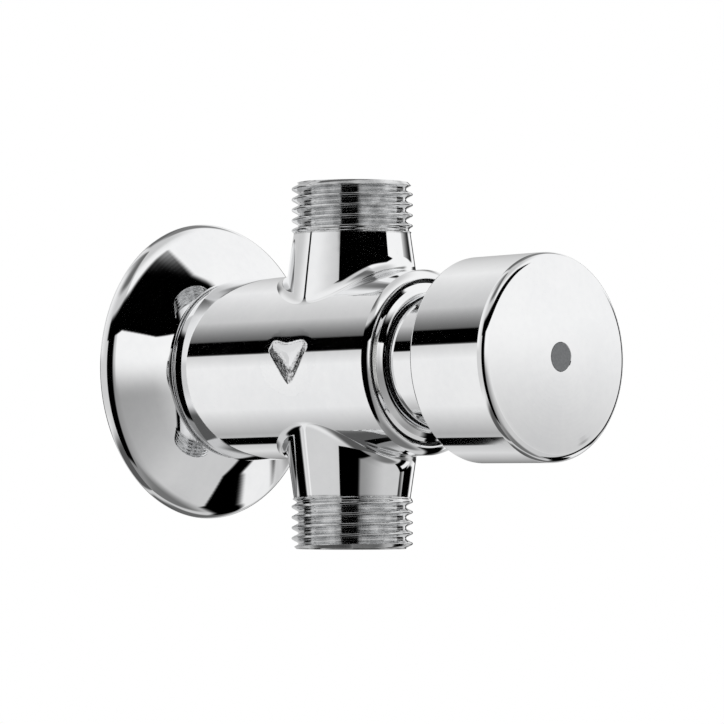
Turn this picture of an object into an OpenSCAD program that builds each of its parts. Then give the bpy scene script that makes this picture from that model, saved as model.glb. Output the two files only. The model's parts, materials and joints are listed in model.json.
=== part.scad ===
// Push-button urinal flush valve for exposed pipework, with a wall rosette.
//
// The barrel lies along Y. The origin is the middle of the stud hole's mouth,
// on the wall, -Y points out of the wall towards the user, +Z up to the supply
// pipe and +X to the right of someone who faces the wall. Most pieces are
// turned about the barrel's axis, so they are drawn on a local +Z that out()
// lays along -Y: a station is then the distance from the wall.

/* [Pipe ends] */
// Distance from the wall to the common axis of the two pipe ends
wall_gap = 36; // [35:0.5:42]
// Height from the barrel's axis to the mouth of each pipe end
pipe_reach = 31.65; // [29.5:0.05:36]
// Outside diameter of the parallel pipe thread, over its crests
thread_d = 20.955; // [20.955:0.5:21.955]
// Length of the threaded stretch
thread_length = 8.8; // [7.5:0.1:10]
// Chamfer on the mouth of each pipe end
thread_chamfer = 0.8; // [0.4:0.1:1.2]
// Diameter of the waterway in each pipe end
water_d = 15; // [14.8:0.1:16]
// Diameter of the neck just behind the thread
neck_tip_d = 20.2; // [19.4:0.1:20.6]
// Diameter of the neck where it meets the crest of the barrel
neck_root_d = 22.2; // [21.4:0.2:23.4]
// Radius of the cast fillet between a neck and the barrel
neck_fillet = 3.2; // [2:0.1:4]

/* [Barrel] */
// Wall of the barrel round the bore of the guide sleeve
barrel_wall = 3.3; // [3.1:0.1:4.9]
// Distance from the wall to the barrel's rear face
barrel_back = 6.8; // [6:0.1:8]
// Distance from the pipe axis to the front face of the barrel
barrel_front = 18.4; // [18:0.1:22]
// Width of the barrel's front chamfer, across its end face
front_chamfer_w = 1.3; // [0.8:0.1:1.4]
// Depth of the barrel's front chamfer, along the barrel
front_chamfer_h = 0.8; // [0.4:0.1:1.2]
// Width of the shallow cone at the barrel's rear end, across its end face
rear_taper_w = 0.9; // [0.3:0.1:1.4]
// Length of that cone along the barrel
rear_taper_h = 3.2; // [2:0.1:4]
// Diameter of the bore that takes the cartridge
bore_d = 22.4; // [22:0.1:22.8]
// Diameter of the wider bore that takes the threaded end of the guide sleeve
sleeve_bore_d = 25.2; // [24.8:0.1:25.6]
// Depth of that wider bore from the front face
sleeve_bore_depth = 8.2; // [7.8:0.1:8.6]
// Width of the open groove between the barrel's mouth and the guide sleeve's ring
mouth_gap = 0.7; // [0.6:0.05:0.8]
// Depth of the open mouth from the front face
mouth_depth = 1.6; // [1.4:0.1:1.9]
// Thickness of the metal behind the cartridge bore
floor_wall = 3.8; // [3.4:0.1:4.4]
// Diameter of the ports between the waterways and the cartridge bore
port_d = 5.8; // [5:0.1:6]
// Distance of each port from the pipe axis, along the barrel
port_shift = 4.4; // [4.3:0.05:4.5]
// Thickness of the web between a waterway and the cartridge bore
port_web = 1.8; // [1.2:0.1:2.4]

/* [Wall rosette] */
// Outside diameter of the rosette
plate_d = 51.8; // [48:0.2:60]
// Thickness of the rosette's sheet
plate_wall = 1; // [0.8:0.1:1.2]
// Height of the rosette's upright edge
plate_rim = 0.3; // [0.1:0.05:0.8]
// Radius of the roll between the edge and the dome
rim_roll = 2; // [1.6:0.1:2.6]
// Angle by which the dome is flatter than a plain cone where it meets the recess
dome_bulge = 3.8; // [1:0.2:10]
// Depth of the recess for the barrel's end, and radius of its rounded edge
recess_round = 0.35; // [0.2:0.05:0.5]
// Clearance between the recess and the barrel's end
recess_gap = 0.15; // [0.1:0.05:0.3]
// Diameter of the spigot behind the barrel that carries the rosette
spigot_d = 19; // [17:0.5:20]
// Diameter of the tapped hole for the wall stud, at its thread crests
stud_hole_d = 6.8; // [5:0.1:7]
// Depth of the tapped hole
stud_hole_depth = 8.4; // [8:0.1:9]
// Thickness of the rubber ring that grips the rosette on the spigot
grip_ring_t = 1.8; // [1.4:0.1:2.2]

/* [Guide sleeve] */
// Diameter of the polished sleeve that the button slides on
sleeve_d = 24; // [23.4:0.1:24.2]
// Distance from the barrel's front face to the sleeve's free end
sleeve_reach = 17.6; // [16.6:0.1:18]
// Diameter of the sleeve's bore
sleeve_bore = 19.4; // [19:0.1:19.8]
// Width of the shoulder by which the sleeve's clamping ring is wider than its thread
ring_shoulder = 1; // [0.8:0.05:1.1]
// Height by which the ring's cone stands proud of the barrel's front face
ring_proud = 0.7; // [0.4:0.1:1]
// Width of the bevel on the ring's outer edge
ring_bevel = 0.6; // [0.4:0.1:0.7]

/* [Button] */
// Travel of the button, from rest to its stop
button_travel = 7.5; // [6:0.1:7.7]
// Diameter of the button at its rear edge
button_rear_d = 35; // [34:0.1:36]
// Diameter of the button in front, just behind the rounded rim
button_front_d = 35.5; // [34.6:0.1:37]
// Distance from the barrel's front face to the button's rear edge
button_gap = 12.1; // [11.6:0.1:12.6]
// Length of the button, from its rear edge to the rim of its face
button_length = 17.3; // [17:0.1:18.2]
// Height of the crown of the face over its rim
button_crown = 1.25; // [0.9:0.05:1.6]
// Radius of the rounded rim of the face
button_round = 1.5; // [0.8:0.1:2]
// Wall of the button's skirt
button_wall = 1.5; // [1.2:0.1:1.8]
// Thickness of the button's front wall at its rim
button_front_wall = 2.2; // [2:0.1:2.4]
// Diameter of the flat disc let into the middle of the face
disc_d = 4.85; // [4.6:0.05:6]
// Thickness of that disc
disc_t = 0.85; // [0.6:0.05:0.9]
// Recess of the liner behind the button's rear edge
liner_recess = 0.8; // [0.5:0.1:1.4]
// Length of the liner's land that slides on the sleeve
liner_land = 4; // [3:0.1:4.4]

/* [Cartridge] */
// Wall of the timing cup
cup_wall = 2; // [1.7:0.1:2.4]
// Thickness of the timing cup's closed end
cup_floor = 1.4; // [1:0.1:1.6]
// Thickness of the cage's flange under the guide sleeve
cage_flange = 1.5; // [1.2:0.1:2]
// Number of windows round the cage, for the water in and again for the water out
window_n = 6; // [2:4:10]
// Share of the cage's circumference that the windows open
window_share = 0.6; // [0.4:0.05:0.65]
// Diameter of the water passage through the valve seat
seat_hole_d = 9; // [8.4:0.1:9.4]
// Height of the raised lip that the washer closes on
seat_lip = 0.7; // [0.5:0.1:0.9]
// Thickness of the rubber valve washer
washer_t = 1.8; // [1.4:0.1:2.2]
// Diameter of the cup that carries the washer
washer_cup_d = 12; // [11.8:0.1:12.4]
// Diameter of the stem
stem_d = 6; // [5.6:0.1:6.2]
// Diameter of the stem's thinner rear end, which carries washer and piston
stem_tail_d = 4; // [3.4:0.1:4.2]
// Thickness of the timing piston
piston_t = 2.6; // [2.4:0.1:2.8]
// Diameter of the timing hole through the piston
timing_hole_d = 0.8; // [0.6:0.1:1.2]
// Wire of the return spring
spring_wire = 0.9; // [0.6:0.05:1.2]
// Number of turns of the return spring, its two flat end coils included
spring_turns = 6.5; // [5:0.5:8]
// Thickness of the round rubber rings on the cartridge
o_ring_t = 1.4; // [1.2:0.1:1.6]

/* [Fits] */
// Radial clearance between pieces that slide on each other
running_fit = 0.06; // [0.04:0.01:0.08]
// Radial clearance between pieces that are assembled and stay put
seated_fit = 0.05; // [0.03:0.01:0.08]
// Clearance of a rubber piece from what it bears on
rubber_fit = 0.02; // [0.01:0.01:0.04]

/* [Hidden] */
$fn = 96;

// Colours of the finishes
chrome_colour = [0.80, 0.81, 0.83];
brass_colour = [0.78, 0.62, 0.34];
steel_colour = [0.62, 0.63, 0.65];
rubber_colour = [0.07, 0.07, 0.07];
white_colour = [0.88, 0.88, 0.86];
grey_colour = [0.36, 0.37, 0.38];

// Amount by which a cutter runs past the face it opens
past = 0.5;

// Stations of the casting, as distances from the wall
barrel_r = sleeve_bore_d / 2 + barrel_wall;
front_face = wall_gap + barrel_front;
mouth_floor = front_face - mouth_depth;
flange_seat = front_face - sleeve_bore_depth;
bore_floor = barrel_back + floor_wall;
in_port = wall_gap - port_shift;
out_port = wall_gap + port_shift;

// Heights of a pipe end, from the barrel's axis
thread_foot = pipe_reach - thread_length;
water_floor = bore_d / 2 + port_web;

// Sizes of the rosette and of the ring that grips it
plate_r = plate_d / 2;
plate_hole_r = spigot_d / 2 + 0.15;
recess_r = barrel_r - rear_taper_w + recess_gap;
grip_groove = grip_ring_t * 0.3;
grip_station = barrel_back - plate_wall - grip_ring_t / 2 - 0.1;

// Sizes of the guide sleeve, of the mouth round its ring and of the seal between
ring_r = sleeve_bore_d / 2 + ring_shoulder;
mouth_r = ring_r + mouth_gap;
mouth_seal_t = mouth_gap - 4 * rubber_fit;
sleeve_thread_r = sleeve_bore_d / 2 - seated_fit;
sleeve_foot = flange_seat + cage_flange;
ring_face = front_face + ring_proud;
sleeve_end = front_face + sleeve_reach;

// Stations of the cartridge's cage
cage_r = bore_d / 2 - seated_fit;
cage_wall = 2.2;
cage_skirt = 1.6;
cage_skirt_wall = 0.6;
cage_back = in_port - port_d / 2 - 2;
cage_recess = 4.9;
cage_front = front_face - cage_recess;
ring_floor_r = bore_d / 2 - o_ring_t - 2 * rubber_fit;
front_ring_station = flange_seat - o_ring_t / 2 - 0.7;

// Stations of the seat and of what closes it
seat_back = in_port + port_d / 2 + 0.1;
seat_front = out_port - port_d / 2 - 0.1;
seat_r = seat_hole_d / 2 + 2.4;
seat_shoulder = 0.6;
lip_back = seat_back - seat_lip;
lip_w = 0.6;
washer_front = lip_back - 0.1;
washer_back = washer_front - washer_t;
washer_r = washer_cup_d / 2 - 0.7;
cup_back = washer_back - 0.9;
stem_flange_t = 0.8;
stem_flange_r = seat_hole_d / 2 - 0.7;

// Stations of the stem's guide
guide_r = stem_d / 2 + 2.6;
guide_back = out_port + port_d / 2 + 0.6;
guide_flange_t = 1;
guide_flange_w = 1.4;
guide_front = cage_front + guide_flange_t;
stem_seal_t = 1.2;
stem_seal_station = (guide_back + cage_front) / 2;
clip_t = 0.8;
clip_bite = 0.4;
clip_slot = 3;

// Stations of the timing chamber
cup_bore_r = cage_r - cup_wall;
cup_end = bore_floor + 0.3;
cup_inner = cup_end + cup_floor;
piston_r = cup_bore_r - 0.35;
piston_front = cage_back - 0.8;
piston_back = piston_front - piston_t;
piston_land = 0.6;
piston_groove_r = piston_r - 1.4;
timing_hole_circle = piston_groove_r - 1.3;
nut_t = 2.2;
nut_af = 7;
nut_back = piston_back - nut_t;
stem_back = nut_back - 0.6;

// Stations of the button and its liner
button_rear = front_face + button_gap;
button_rim = button_rear + button_length;
button_front = button_rim + button_crown;
button_bore_r = button_rear_d / 2 - button_wall;
liner_rear = button_rear + liner_recess;
liner_front = button_rim - button_front_wall;
liner_stop = liner_front - 1.5;
liner_relief = 0.5;
hub_length = 4.6;
hub_r = stem_d / 2 + 2.4;

// Stations of the screw under the grey disc
screw_r = 1.45;
screw_length = 9;
screw_hole_r = screw_r + 0.15;
screw_head_r = disc_d / 2 - 0.12;
screw_head_t = 1.3;
screw_seat = button_front - disc_t - 0.1 - screw_head_t;
socket_depth = 0.7;
socket_af = 1.9;

// Travel that stays free behind the stem, behind the liner and behind the button
echo(room_behind_stem = stem_back - button_travel - cup_inner);
echo(room_behind_liner = liner_stop - button_travel - sleeve_end);
echo(room_behind_button = button_rear - button_travel - ring_face);

// Lays local +Z along -Y, out of the wall
module out() {
    rotate([90, 0, 0]) children();
}

// A solid disc between two stations
module disc(radius, from, to) {
    translate([0, 0, from]) cylinder(r = radius, h = to - from);
}

// A turned ring or tube between two stations
module tube(outer, inner, from, to) {
    difference() {
        disc(outer, from, to);
        disc(inner, from - past, to + past);
    }
}

// A round rubber ring, on the radius of its section's middle
module round_ring(middle, thickness, station) {
    translate([0, 0, station]) rotate_extrude() translate([middle, 0]) circle(d = thickness, $fn = 32);
}

// Radius of the neck at a height over the barrel's axis
function neck_r(z) = neck_root_d / 2
    + (neck_tip_d - neck_root_d) / 2 * (z - barrel_r) / (thread_foot - barrel_r);

// The fillet that a ball would leave as it rolls round a neck on the barrel.
// At each angle it has a concave arc and one corner deep inside the metal, and
// the arc's ends lie a little under the surfaces, so that the faces cross.
fillet_steps = 40;
arc_steps = 5;
bite = 0.08;
corner_depth = 1.6;

function ball_height(angle, r) =
    sqrt(pow(barrel_r - bite + neck_fillet, 2) - pow(r * cos(angle), 2));
function ball_reach(angle) =
    neck_r(ball_height(angle, neck_root_d / 2 + neck_fillet)) - bite + neck_fillet;
function arc_point(a, b, t) = let (w = acos(a * b)) (a * sin((1 - t) * w) + b * sin(t * w)) / sin(w);

function fillet_section(angle) = let (
    reach = ball_reach(angle),
    ball = [reach * cos(angle), reach * sin(angle), ball_height(angle, reach)],
    to_neck = [-cos(angle), -sin(angle), 0],
    to_barrel = -[ball.x, 0, ball.z] / norm([ball.x, 0, ball.z]),
    foot = ball + neck_fillet * to_barrel,
    inner = reach - neck_fillet - corner_depth)
    concat(
        [for (j = [0:arc_steps]) ball + neck_fillet * arc_point(to_neck, to_barrel, j / arc_steps)],
        [[inner * cos(angle), inner * sin(angle), foot.z - corner_depth]]);

module neck_blend() {
    rows = arc_steps + 2;
    points = [for (i = [0:fillet_steps - 1]) each fillet_section(360 * i / fillet_steps)];
    faces = [for (i = [0:fillet_steps - 1], j = [0:rows - 1]) let (
        here = i * rows,
        next = ((i + 1) % fillet_steps) * rows,
        k = (j + 1) % rows)
        each [[here + j, next + k, here + k], [here + j, next + j, next + k]]];
    polyhedron(points = points, faces = faces);
}

// One pipe end, drawn upwards from the barrel's axis
module pipe_end() {
    rotate_extrude() polygon([
        [0, 0], [neck_root_d / 2, 0], [neck_root_d / 2, barrel_r], [neck_tip_d / 2, thread_foot],
        [thread_d / 2, thread_foot], [thread_d / 2, pipe_reach - thread_chamfer],
        [thread_d / 2 - thread_chamfer, pipe_reach], [0, pipe_reach]]);
    neck_blend();
}

module barrel_outside() {
    out() rotate_extrude() polygon([
        [0, 0], [spigot_d / 2 - 0.4, 0], [spigot_d / 2, 0.4], [spigot_d / 2, barrel_back],
        [barrel_r - rear_taper_w, barrel_back], [barrel_r, barrel_back + rear_taper_h],
        [barrel_r, front_face - front_chamfer_h], [barrel_r - front_chamfer_w, front_face],
        [0, front_face]]);
}

// The cartridge's bore, the sleeve's bore, the open mouth and the stud hole
module barrel_bores() {
    out() {
        disc(bore_d / 2, bore_floor, front_face + past);
        disc(sleeve_bore_d / 2, flange_seat, front_face + past);
        disc(mouth_r, mouth_floor, front_face + past);
        disc(stud_hole_d / 2, -past, stud_hole_depth);
    }
}

// A waterway on the pipe axis and its port, which lies off that axis
module waterway(port_station) {
    translate([0, -wall_gap, water_floor])
        cylinder(d = water_d, h = pipe_reach - water_floor + past);
    translate([0, -port_station, 0]) cylinder(d = port_d, h = water_floor + past);
}

module body() {
    color(chrome_colour) difference() {
        union() {
            barrel_outside();
            translate([0, -wall_gap, 0]) {
                pipe_end();
                mirror([0, 0, 1]) pipe_end();
            }
        }
        barrel_bores();
        waterway(in_port);
        mirror([0, 0, 1]) waterway(out_port);
        out() tube(spigot_d / 2 + past, spigot_d / 2 - grip_groove,
            grip_station - grip_ring_t / 2, grip_station + grip_ring_t / 2);
    }
}

// The rosette's section has three arcs that touch: the roll at the rim, the dome
// and the rounded edge of the recess. Slopes are measured from the wall plane, and
// an arc's point of that slope lies that far round its middle. The cone that
// touches the first arc and the last gives the slope that the dome starts from.
roll_middle = [plate_r - rim_roll, plate_rim];
edge_middle = [recess_r + recess_round, barrel_back];
middle_step = edge_middle - roll_middle;
more_roll = rim_roll - recess_round;
dome_start = acos(more_roll / norm(middle_step)) - atan2(-middle_step.x, middle_step.y) - dome_bulge;
dome_way = [sin(dome_start), cos(dome_start)];
dome_reach = (middle_step * middle_step - more_roll * more_roll) / (middle_step * dome_way - more_roll) / 2;
dome_r = dome_reach + recess_round;
dome_middle = edge_middle - dome_reach * dome_way;
dome_end = atan2(roll_middle.x - dome_middle.x, roll_middle.y - dome_middle.y);
under_r = dome_r - plate_wall;
under_end = acos((barrel_back - plate_wall - dome_middle.y) / under_r);

function section_arc(middle, r, from, to, steps) =
    [for (i = [0:steps]) let (a = from + (to - from) * i / steps) middle + r * [sin(a), cos(a)]];

module wall_plate() {
    color(chrome_colour) out() rotate_extrude() polygon(concat(
        [[plate_hole_r, barrel_back - plate_wall], [plate_hole_r, barrel_back], [recess_r, barrel_back]],
        section_arc(edge_middle, recess_round, -60, dome_start, 3),
        section_arc(dome_middle, dome_r, dome_start + 1, dome_end, 4),
        section_arc(roll_middle, rim_roll, dome_end + 6, 90, 7),
        [[plate_r, 0], [plate_r - plate_wall, 0]],
        section_arc(roll_middle, rim_roll - plate_wall, 90, dome_end + 9, 4),
        section_arc(dome_middle, under_r, dome_end, under_end, 3)));
}

module plate_grip_ring() {
    color(rubber_colour) out()
        round_ring(spigot_d / 2 - grip_groove + grip_ring_t / 2, grip_ring_t - 2 * rubber_fit, grip_station);
}

// The sleeve, its clamping ring and its threaded foot are one turned piece
module guide_sleeve() {
    color(chrome_colour) out() difference() {
        rotate_extrude() polygon([
            [sleeve_bore / 2, sleeve_foot], [sleeve_thread_r - 0.5, sleeve_foot],
            [sleeve_thread_r, sleeve_foot + 0.5], [sleeve_thread_r, mouth_floor],
            [ring_r, mouth_floor], [ring_r, front_face - ring_bevel / 2],
            [ring_r - ring_bevel, front_face], [sleeve_d / 2, ring_face],
            [sleeve_d / 2, sleeve_end - 0.5], [sleeve_d / 2 - 0.5, sleeve_end],
            [sleeve_bore / 2, sleeve_end]]);
        disc(sleeve_bore / 2 + clip_bite + seated_fit, guide_front, guide_front + clip_t + 0.05);
    }
}

module mouth_seal() {
    color(rubber_colour) out()
        round_ring((mouth_r + ring_r) / 2, mouth_seal_t, mouth_floor + mouth_seal_t / 2 + rubber_fit);
}

// A row of windows round the cage, centred on a station
module windows(station) {
    sweep = 360 / window_n * window_share;
    for (i = [0:window_n - 1])
        rotate([0, 0, 360 * (i + 0.5) / window_n - sweep / 2]) translate([0, 0, station - port_d / 2])
            rotate_extrude(angle = sweep)
                translate([cage_r - cage_wall - past, 0]) square([cage_wall + 2 * past, port_d]);
}

// The groove of one round rubber ring on the outside of the cage
module ring_groove(station) {
    tube(cage_r + past, ring_floor_r, station - o_ring_t / 2 - 0.1, station + o_ring_t / 2 + 0.1);
}

// The strainer's recess lies over the inlet windows
filter_wall = 0.45;
filter_back = in_port - port_d / 2 - 0.5;
filter_front = in_port + port_d / 2 + 0.2;

module cartridge_cage() {
    color(white_colour) out() difference() {
        union() {
            disc(cage_r, cage_back - cage_skirt, flange_seat);
            disc(sleeve_thread_r, flange_seat, sleeve_foot);
            disc(sleeve_bore / 2 - seated_fit, sleeve_foot, cage_front);
        }
        disc(cage_r - cage_skirt_wall, cage_back - cage_skirt - past, cage_back);
        disc(cage_r - cage_wall, cage_back - past, seat_back);
        disc(seat_r + seated_fit, seat_back - past, seat_front);
        disc(seat_r - 0.8, seat_back, seat_front + seat_shoulder + past);
        disc(cage_r - cage_wall, seat_front + seat_shoulder, out_port + port_d / 2);
        disc(guide_r + seated_fit, out_port, cage_front + past);
        windows(in_port);
        windows(out_port);
        ring_groove(wall_gap);
        ring_groove(front_ring_station);
        tube(cage_r + past, cage_r - filter_wall - 0.15, filter_back, filter_front);
    }
}

module timing_cup() {
    color(white_colour) out() difference() {
        union() {
            disc(cage_r, cup_end, cage_back - cage_skirt);
            disc(cage_r - cage_skirt_wall - seated_fit, cup_end, cage_back);
        }
        disc(cup_bore_r, cup_inner, cage_back + past);
    }
}

// A round rubber ring that seals the cage in its bore
module cage_ring(station) {
    color(rubber_colour) out()
        round_ring(bore_d / 2 - o_ring_t / 2 - rubber_fit, o_ring_t, station);
}

module divider_ring() {
    cage_ring(wall_gap);
}

module front_ring() {
    cage_ring(front_ring_station);
}

// A strainer: a thin sleeve with rows of round holes
filter_rows = 2;
filter_holes = 12;
filter_hole_d = 1.6;

module inlet_filter() {
    pitch = (filter_front - filter_back) / (filter_rows + 0.5);
    color(steel_colour) out() difference() {
        tube(cage_r - 0.1, cage_r - 0.1 - filter_wall, filter_back + seated_fit, filter_front - seated_fit);
        for (row = [0:filter_rows - 1], i = [0:filter_holes - 1])
            translate([0, 0, filter_back + pitch * (row + 0.75)])
                rotate([0, 0, 360 / filter_holes * (i + row / 2)]) rotate([0, 90, 0])
                    cylinder(d = filter_hole_d, h = cage_r + past, $fn = 16);
    }
}

module seat_insert() {
    color(brass_colour) out() difference() {
        union() {
            disc(seat_r, seat_back, seat_front);
            disc(seat_hole_d / 2 + lip_w, lip_back, seat_front);
        }
        disc(seat_hole_d / 2, lip_back - past, seat_front + past);
    }
}

module stem_guide() {
    color(brass_colour) out() difference() {
        union() {
            disc(guide_r, guide_back, guide_front);
            disc(guide_r + guide_flange_w, cage_front, guide_front);
        }
        disc(stem_d / 2 + running_fit, guide_back - past, guide_front + past);
        disc(stem_d / 2 + running_fit + stem_seal_t + rubber_fit,
            stem_seal_station - stem_seal_t / 2, stem_seal_station + stem_seal_t / 2);
    }
}

module stem_seal() {
    color(rubber_colour) out()
        round_ring(stem_d / 2 + running_fit + stem_seal_t / 2, stem_seal_t - 2 * rubber_fit, stem_seal_station);
}

// A sprung clip in the sleeve's bore that holds cage and guide
module guide_clip() {
    clip_r = sleeve_bore / 2 + clip_bite;
    color(steel_colour) out() difference() {
        tube(clip_r, guide_r + 0.8, guide_front, guide_front + clip_t);
        translate([0, -clip_slot / 2, guide_front - past]) cube([clip_r + past, clip_slot, clip_t + 2 * past]);
    }
}

// The return spring is one tube of wire, wound on from a flat end coil to the next
spring_sides = 6;
spring_rings = 8;
spring_r = stem_d / 2 + 0.75 + spring_wire / 2;
spring_from = guide_front + spring_wire / 2;
spring_to = liner_stop - hub_length - spring_wire / 2;
spring_count = round(spring_turns * spring_rings);
flat_turn = 0.5;

function spring_height(turn) = let (t = (turn - flat_turn) / (spring_turns - 2 * flat_turn))
    spring_from + (spring_to - spring_from) * min(1, max(0, t));
function spring_ring(turn) = let (
    across = [cos(360 * turn), sin(360 * turn), 0],
    middle = spring_r * across + [0, 0, spring_height(turn)])
    [for (k = [0:spring_sides - 1]) let (a = 360 * k / spring_sides)
        middle + spring_wire / 2 * (cos(a) * across + sin(a) * [0, 0, 1])];
coil_gaps = [for (i = [0:spring_count - spring_rings])
    spring_height(i / spring_rings + 1) - spring_height(i / spring_rings) - spring_wire];
echo(least_gap_between_coils = min(coil_gaps));

module return_spring() {
    points = [for (i = [0:spring_count]) each spring_ring(i / spring_rings)];
    n = spring_sides;
    sides = [for (i = [0:spring_count - 1], k = [0:n - 1]) let (
        a = i * n + k,
        b = i * n + (k + 1) % n)
        each [[a, b, b + n], [a, b + n, a + n]]];
    caps = [[for (k = [n - 1:-1:0]) k], [for (k = [0:n - 1]) spring_count * n + k]];
    color(steel_colour) out() polyhedron(points = points, faces = concat(caps, sides));
}

// The crowned face is an arc through its rim and its middle
face_r = button_front_d / 2 - button_round;
crown_r = (face_r * face_r + button_crown * button_crown) / (2 * button_crown);

module button_section() {
    rear_r = button_rear_d / 2;
    shoulder = button_rim - button_round;
    polygon([
        [0, button_rear], [rear_r - 0.3, button_rear], [rear_r, button_rear + 0.3],
        [button_front_d / 2, shoulder], [face_r, shoulder], [face_r, button_rim], [0, button_rim]]);
    translate([face_r, shoulder]) intersection() {
        circle(r = button_round, $fn = 64);
        square(button_round);
    }
    intersection() {
        translate([0, button_front - crown_r]) circle(r = crown_r, $fn = 256);
        translate([0, button_rim - 0.001]) square([face_r, button_crown + past]);
    }
}

module button_shell() {
    color(chrome_colour) out() difference() {
        rotate_extrude() button_section();
        disc(button_bore_r, button_rear - past, liner_front);
        disc(screw_hole_r, liner_front - past, button_front);
        disc(disc_d / 2 + seated_fit, screw_seat, button_front + past);
    }
}

// The liner slides on the sleeve with a land behind, and its hub takes the stem
module button_liner() {
    color(white_colour) out() difference() {
        disc(button_bore_r - seated_fit, liner_rear, liner_front);
        disc(sleeve_d / 2 + running_fit, liner_rear - past, liner_rear + liner_land + past);
        difference() {
            disc(sleeve_d / 2 + liner_relief, liner_rear + liner_land, liner_stop);
            disc(hub_r, liner_stop - hub_length, liner_stop + past);
        }
        disc(stem_d / 2 + seated_fit, liner_stop - hub_length - past, liner_stop);
        disc(screw_hole_r, liner_stop - past, liner_front + past);
    }
}

module button_disc() {
    color(grey_colour) out() disc(disc_d / 2, button_front - disc_t, button_front);
}

module button_screw() {
    color(steel_colour) out() difference() {
        union() {
            disc(screw_head_r, screw_seat, screw_seat + screw_head_t);
            disc(screw_r, screw_seat - screw_length, screw_seat + screw_head_t);
        }
        translate([0, 0, screw_seat + screw_head_t - socket_depth])
            cylinder(d = socket_af * 2 / sqrt(3), h = socket_depth + past, $fn = 6);
    }
}

module stem() {
    step = 0.5;
    color(steel_colour) out() difference() {
        union() {
            disc(stem_tail_d / 2, stem_back, washer_front + past);
            disc(stem_flange_r, washer_front, washer_front + stem_flange_t);
            disc(stem_d / 2, washer_front, liner_stop - step);
            translate([0, 0, liner_stop - step]) cylinder(r1 = stem_d / 2, r2 = stem_d / 2 - step, h = step);
        }
        disc(screw_r + rubber_fit, screw_seat - screw_length - step, liner_stop + past);
    }
}

// Bore of the pieces that are threaded onto the stem's tail
tail_bore_r = stem_tail_d / 2 + seated_fit;

module valve_washer() {
    color(rubber_colour) out() tube(washer_r, tail_bore_r, washer_back, washer_front);
}

module washer_cup() {
    color(brass_colour) out() difference() {
        disc(washer_cup_d / 2, cup_back, washer_front - 0.4);
        disc(washer_r + rubber_fit, washer_back, washer_front);
        disc(tail_bore_r, cup_back - past, washer_front);
    }
}

module stem_spacer() {
    color(brass_colour) out() tube(stem_d / 2, tail_bore_r, piston_front, cup_back);
}

module piston() {
    color(white_colour) out() difference() {
        disc(piston_r, piston_back, piston_front);
        disc(tail_bore_r, piston_back - past, piston_front + past);
        tube(piston_r + past, piston_groove_r, piston_back + piston_land, piston_front - piston_land);
        translate([timing_hole_circle, 0, piston_back - past])
            cylinder(d = timing_hole_d, h = piston_t + 2 * past, $fn = 24);
    }
}

// The piston's seal has two lips that open towards the timing chamber
module piston_seal() {
    from = piston_back + piston_land + rubber_fit;
    to = piston_front - piston_land - rubber_fit;
    inner = piston_groove_r + rubber_fit;
    outer = cup_bore_r - running_fit;
    lip = 0.4;
    color(rubber_colour) out() rotate_extrude() polygon([
        [inner, from], [inner + lip, from], [inner + lip + 0.15, to - lip],
        [outer - lip - 0.25, to - lip], [outer - lip, from], [outer, from],
        [outer - 0.2, to], [inner, to]]);
}

module stem_nut() {
    color(brass_colour) out() difference() {
        translate([0, 0, nut_back]) cylinder(d = nut_af * 2 / sqrt(3), h = nut_t, $fn = 6);
        disc(tail_bore_r, nut_back - past, nut_back + nut_t + past);
    }
}

body();
wall_plate();
plate_grip_ring();
guide_sleeve();
mouth_seal();
cartridge_cage();
timing_cup();
divider_ring();
front_ring();
inlet_filter();
seat_insert();
stem_guide();
stem_seal();
guide_clip();
return_spring();
button_shell();
button_liner();
button_disc();
button_screw();
stem();
valve_washer();
washer_cup();
stem_spacer();
piston();
piston_seal();
stem_nut();
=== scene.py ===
"""Dresses and lights the push-button urinal flush valve.

The barrel lies along Y with its rosette on the wall plane y = 0. A station is
the distance from the wall, so it is minus y. Sizes in the classes are in
millimetres and become metres where a mesh is made.
"""

import json
import logging
import math
from dataclasses import dataclass, field
from enum import Enum

import bpy
from mathutils import Matrix, Vector
from mathutils.geometry import delaunay_2d_cdt


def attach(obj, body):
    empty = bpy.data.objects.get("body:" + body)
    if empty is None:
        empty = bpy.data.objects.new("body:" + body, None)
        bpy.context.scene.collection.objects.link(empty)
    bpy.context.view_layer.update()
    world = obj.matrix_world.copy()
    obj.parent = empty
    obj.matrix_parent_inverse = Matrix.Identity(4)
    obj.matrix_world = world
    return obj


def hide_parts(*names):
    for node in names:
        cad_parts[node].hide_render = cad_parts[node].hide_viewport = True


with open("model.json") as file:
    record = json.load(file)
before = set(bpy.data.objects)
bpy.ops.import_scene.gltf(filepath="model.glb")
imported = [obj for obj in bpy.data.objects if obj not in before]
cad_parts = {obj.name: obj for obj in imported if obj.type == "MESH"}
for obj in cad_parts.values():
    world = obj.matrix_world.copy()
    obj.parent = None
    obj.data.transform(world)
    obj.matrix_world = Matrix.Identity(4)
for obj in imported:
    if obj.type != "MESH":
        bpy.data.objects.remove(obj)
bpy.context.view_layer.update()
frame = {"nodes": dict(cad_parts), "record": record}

MM = 0.001
TURN = 2 * math.pi
DRAWN_APART = 1e-7
SPUN_APART = 2e-7
LOG = logging.getLogger("valve")

Point = tuple[float, float]
Triple = tuple[float, float, float]
Corner = tuple[Vector, Vector]
Run = list[tuple[Point, Point, Point, Point]]
Socket = bpy.types.NodeSocket
Node = bpy.types.Node
Tree = bpy.types.NodeTree
Material = bpy.types.Material
Object = bpy.types.Object


class Body(Enum):
    """The two bodies that pieces ride on."""

    VALVE = "valve"
    PLUNGER = "plunger"


class Slot(Enum):
    """The finishes that the record names."""

    CHROME = "chrome_plate"
    BRASS = "bare_brass"
    STEEL = "stainless_steel"
    RUBBER = "black_rubber"
    WHITE = "white_plastic"
    GREY = "grey_plastic"


# ---- Shader nodes ----


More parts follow.
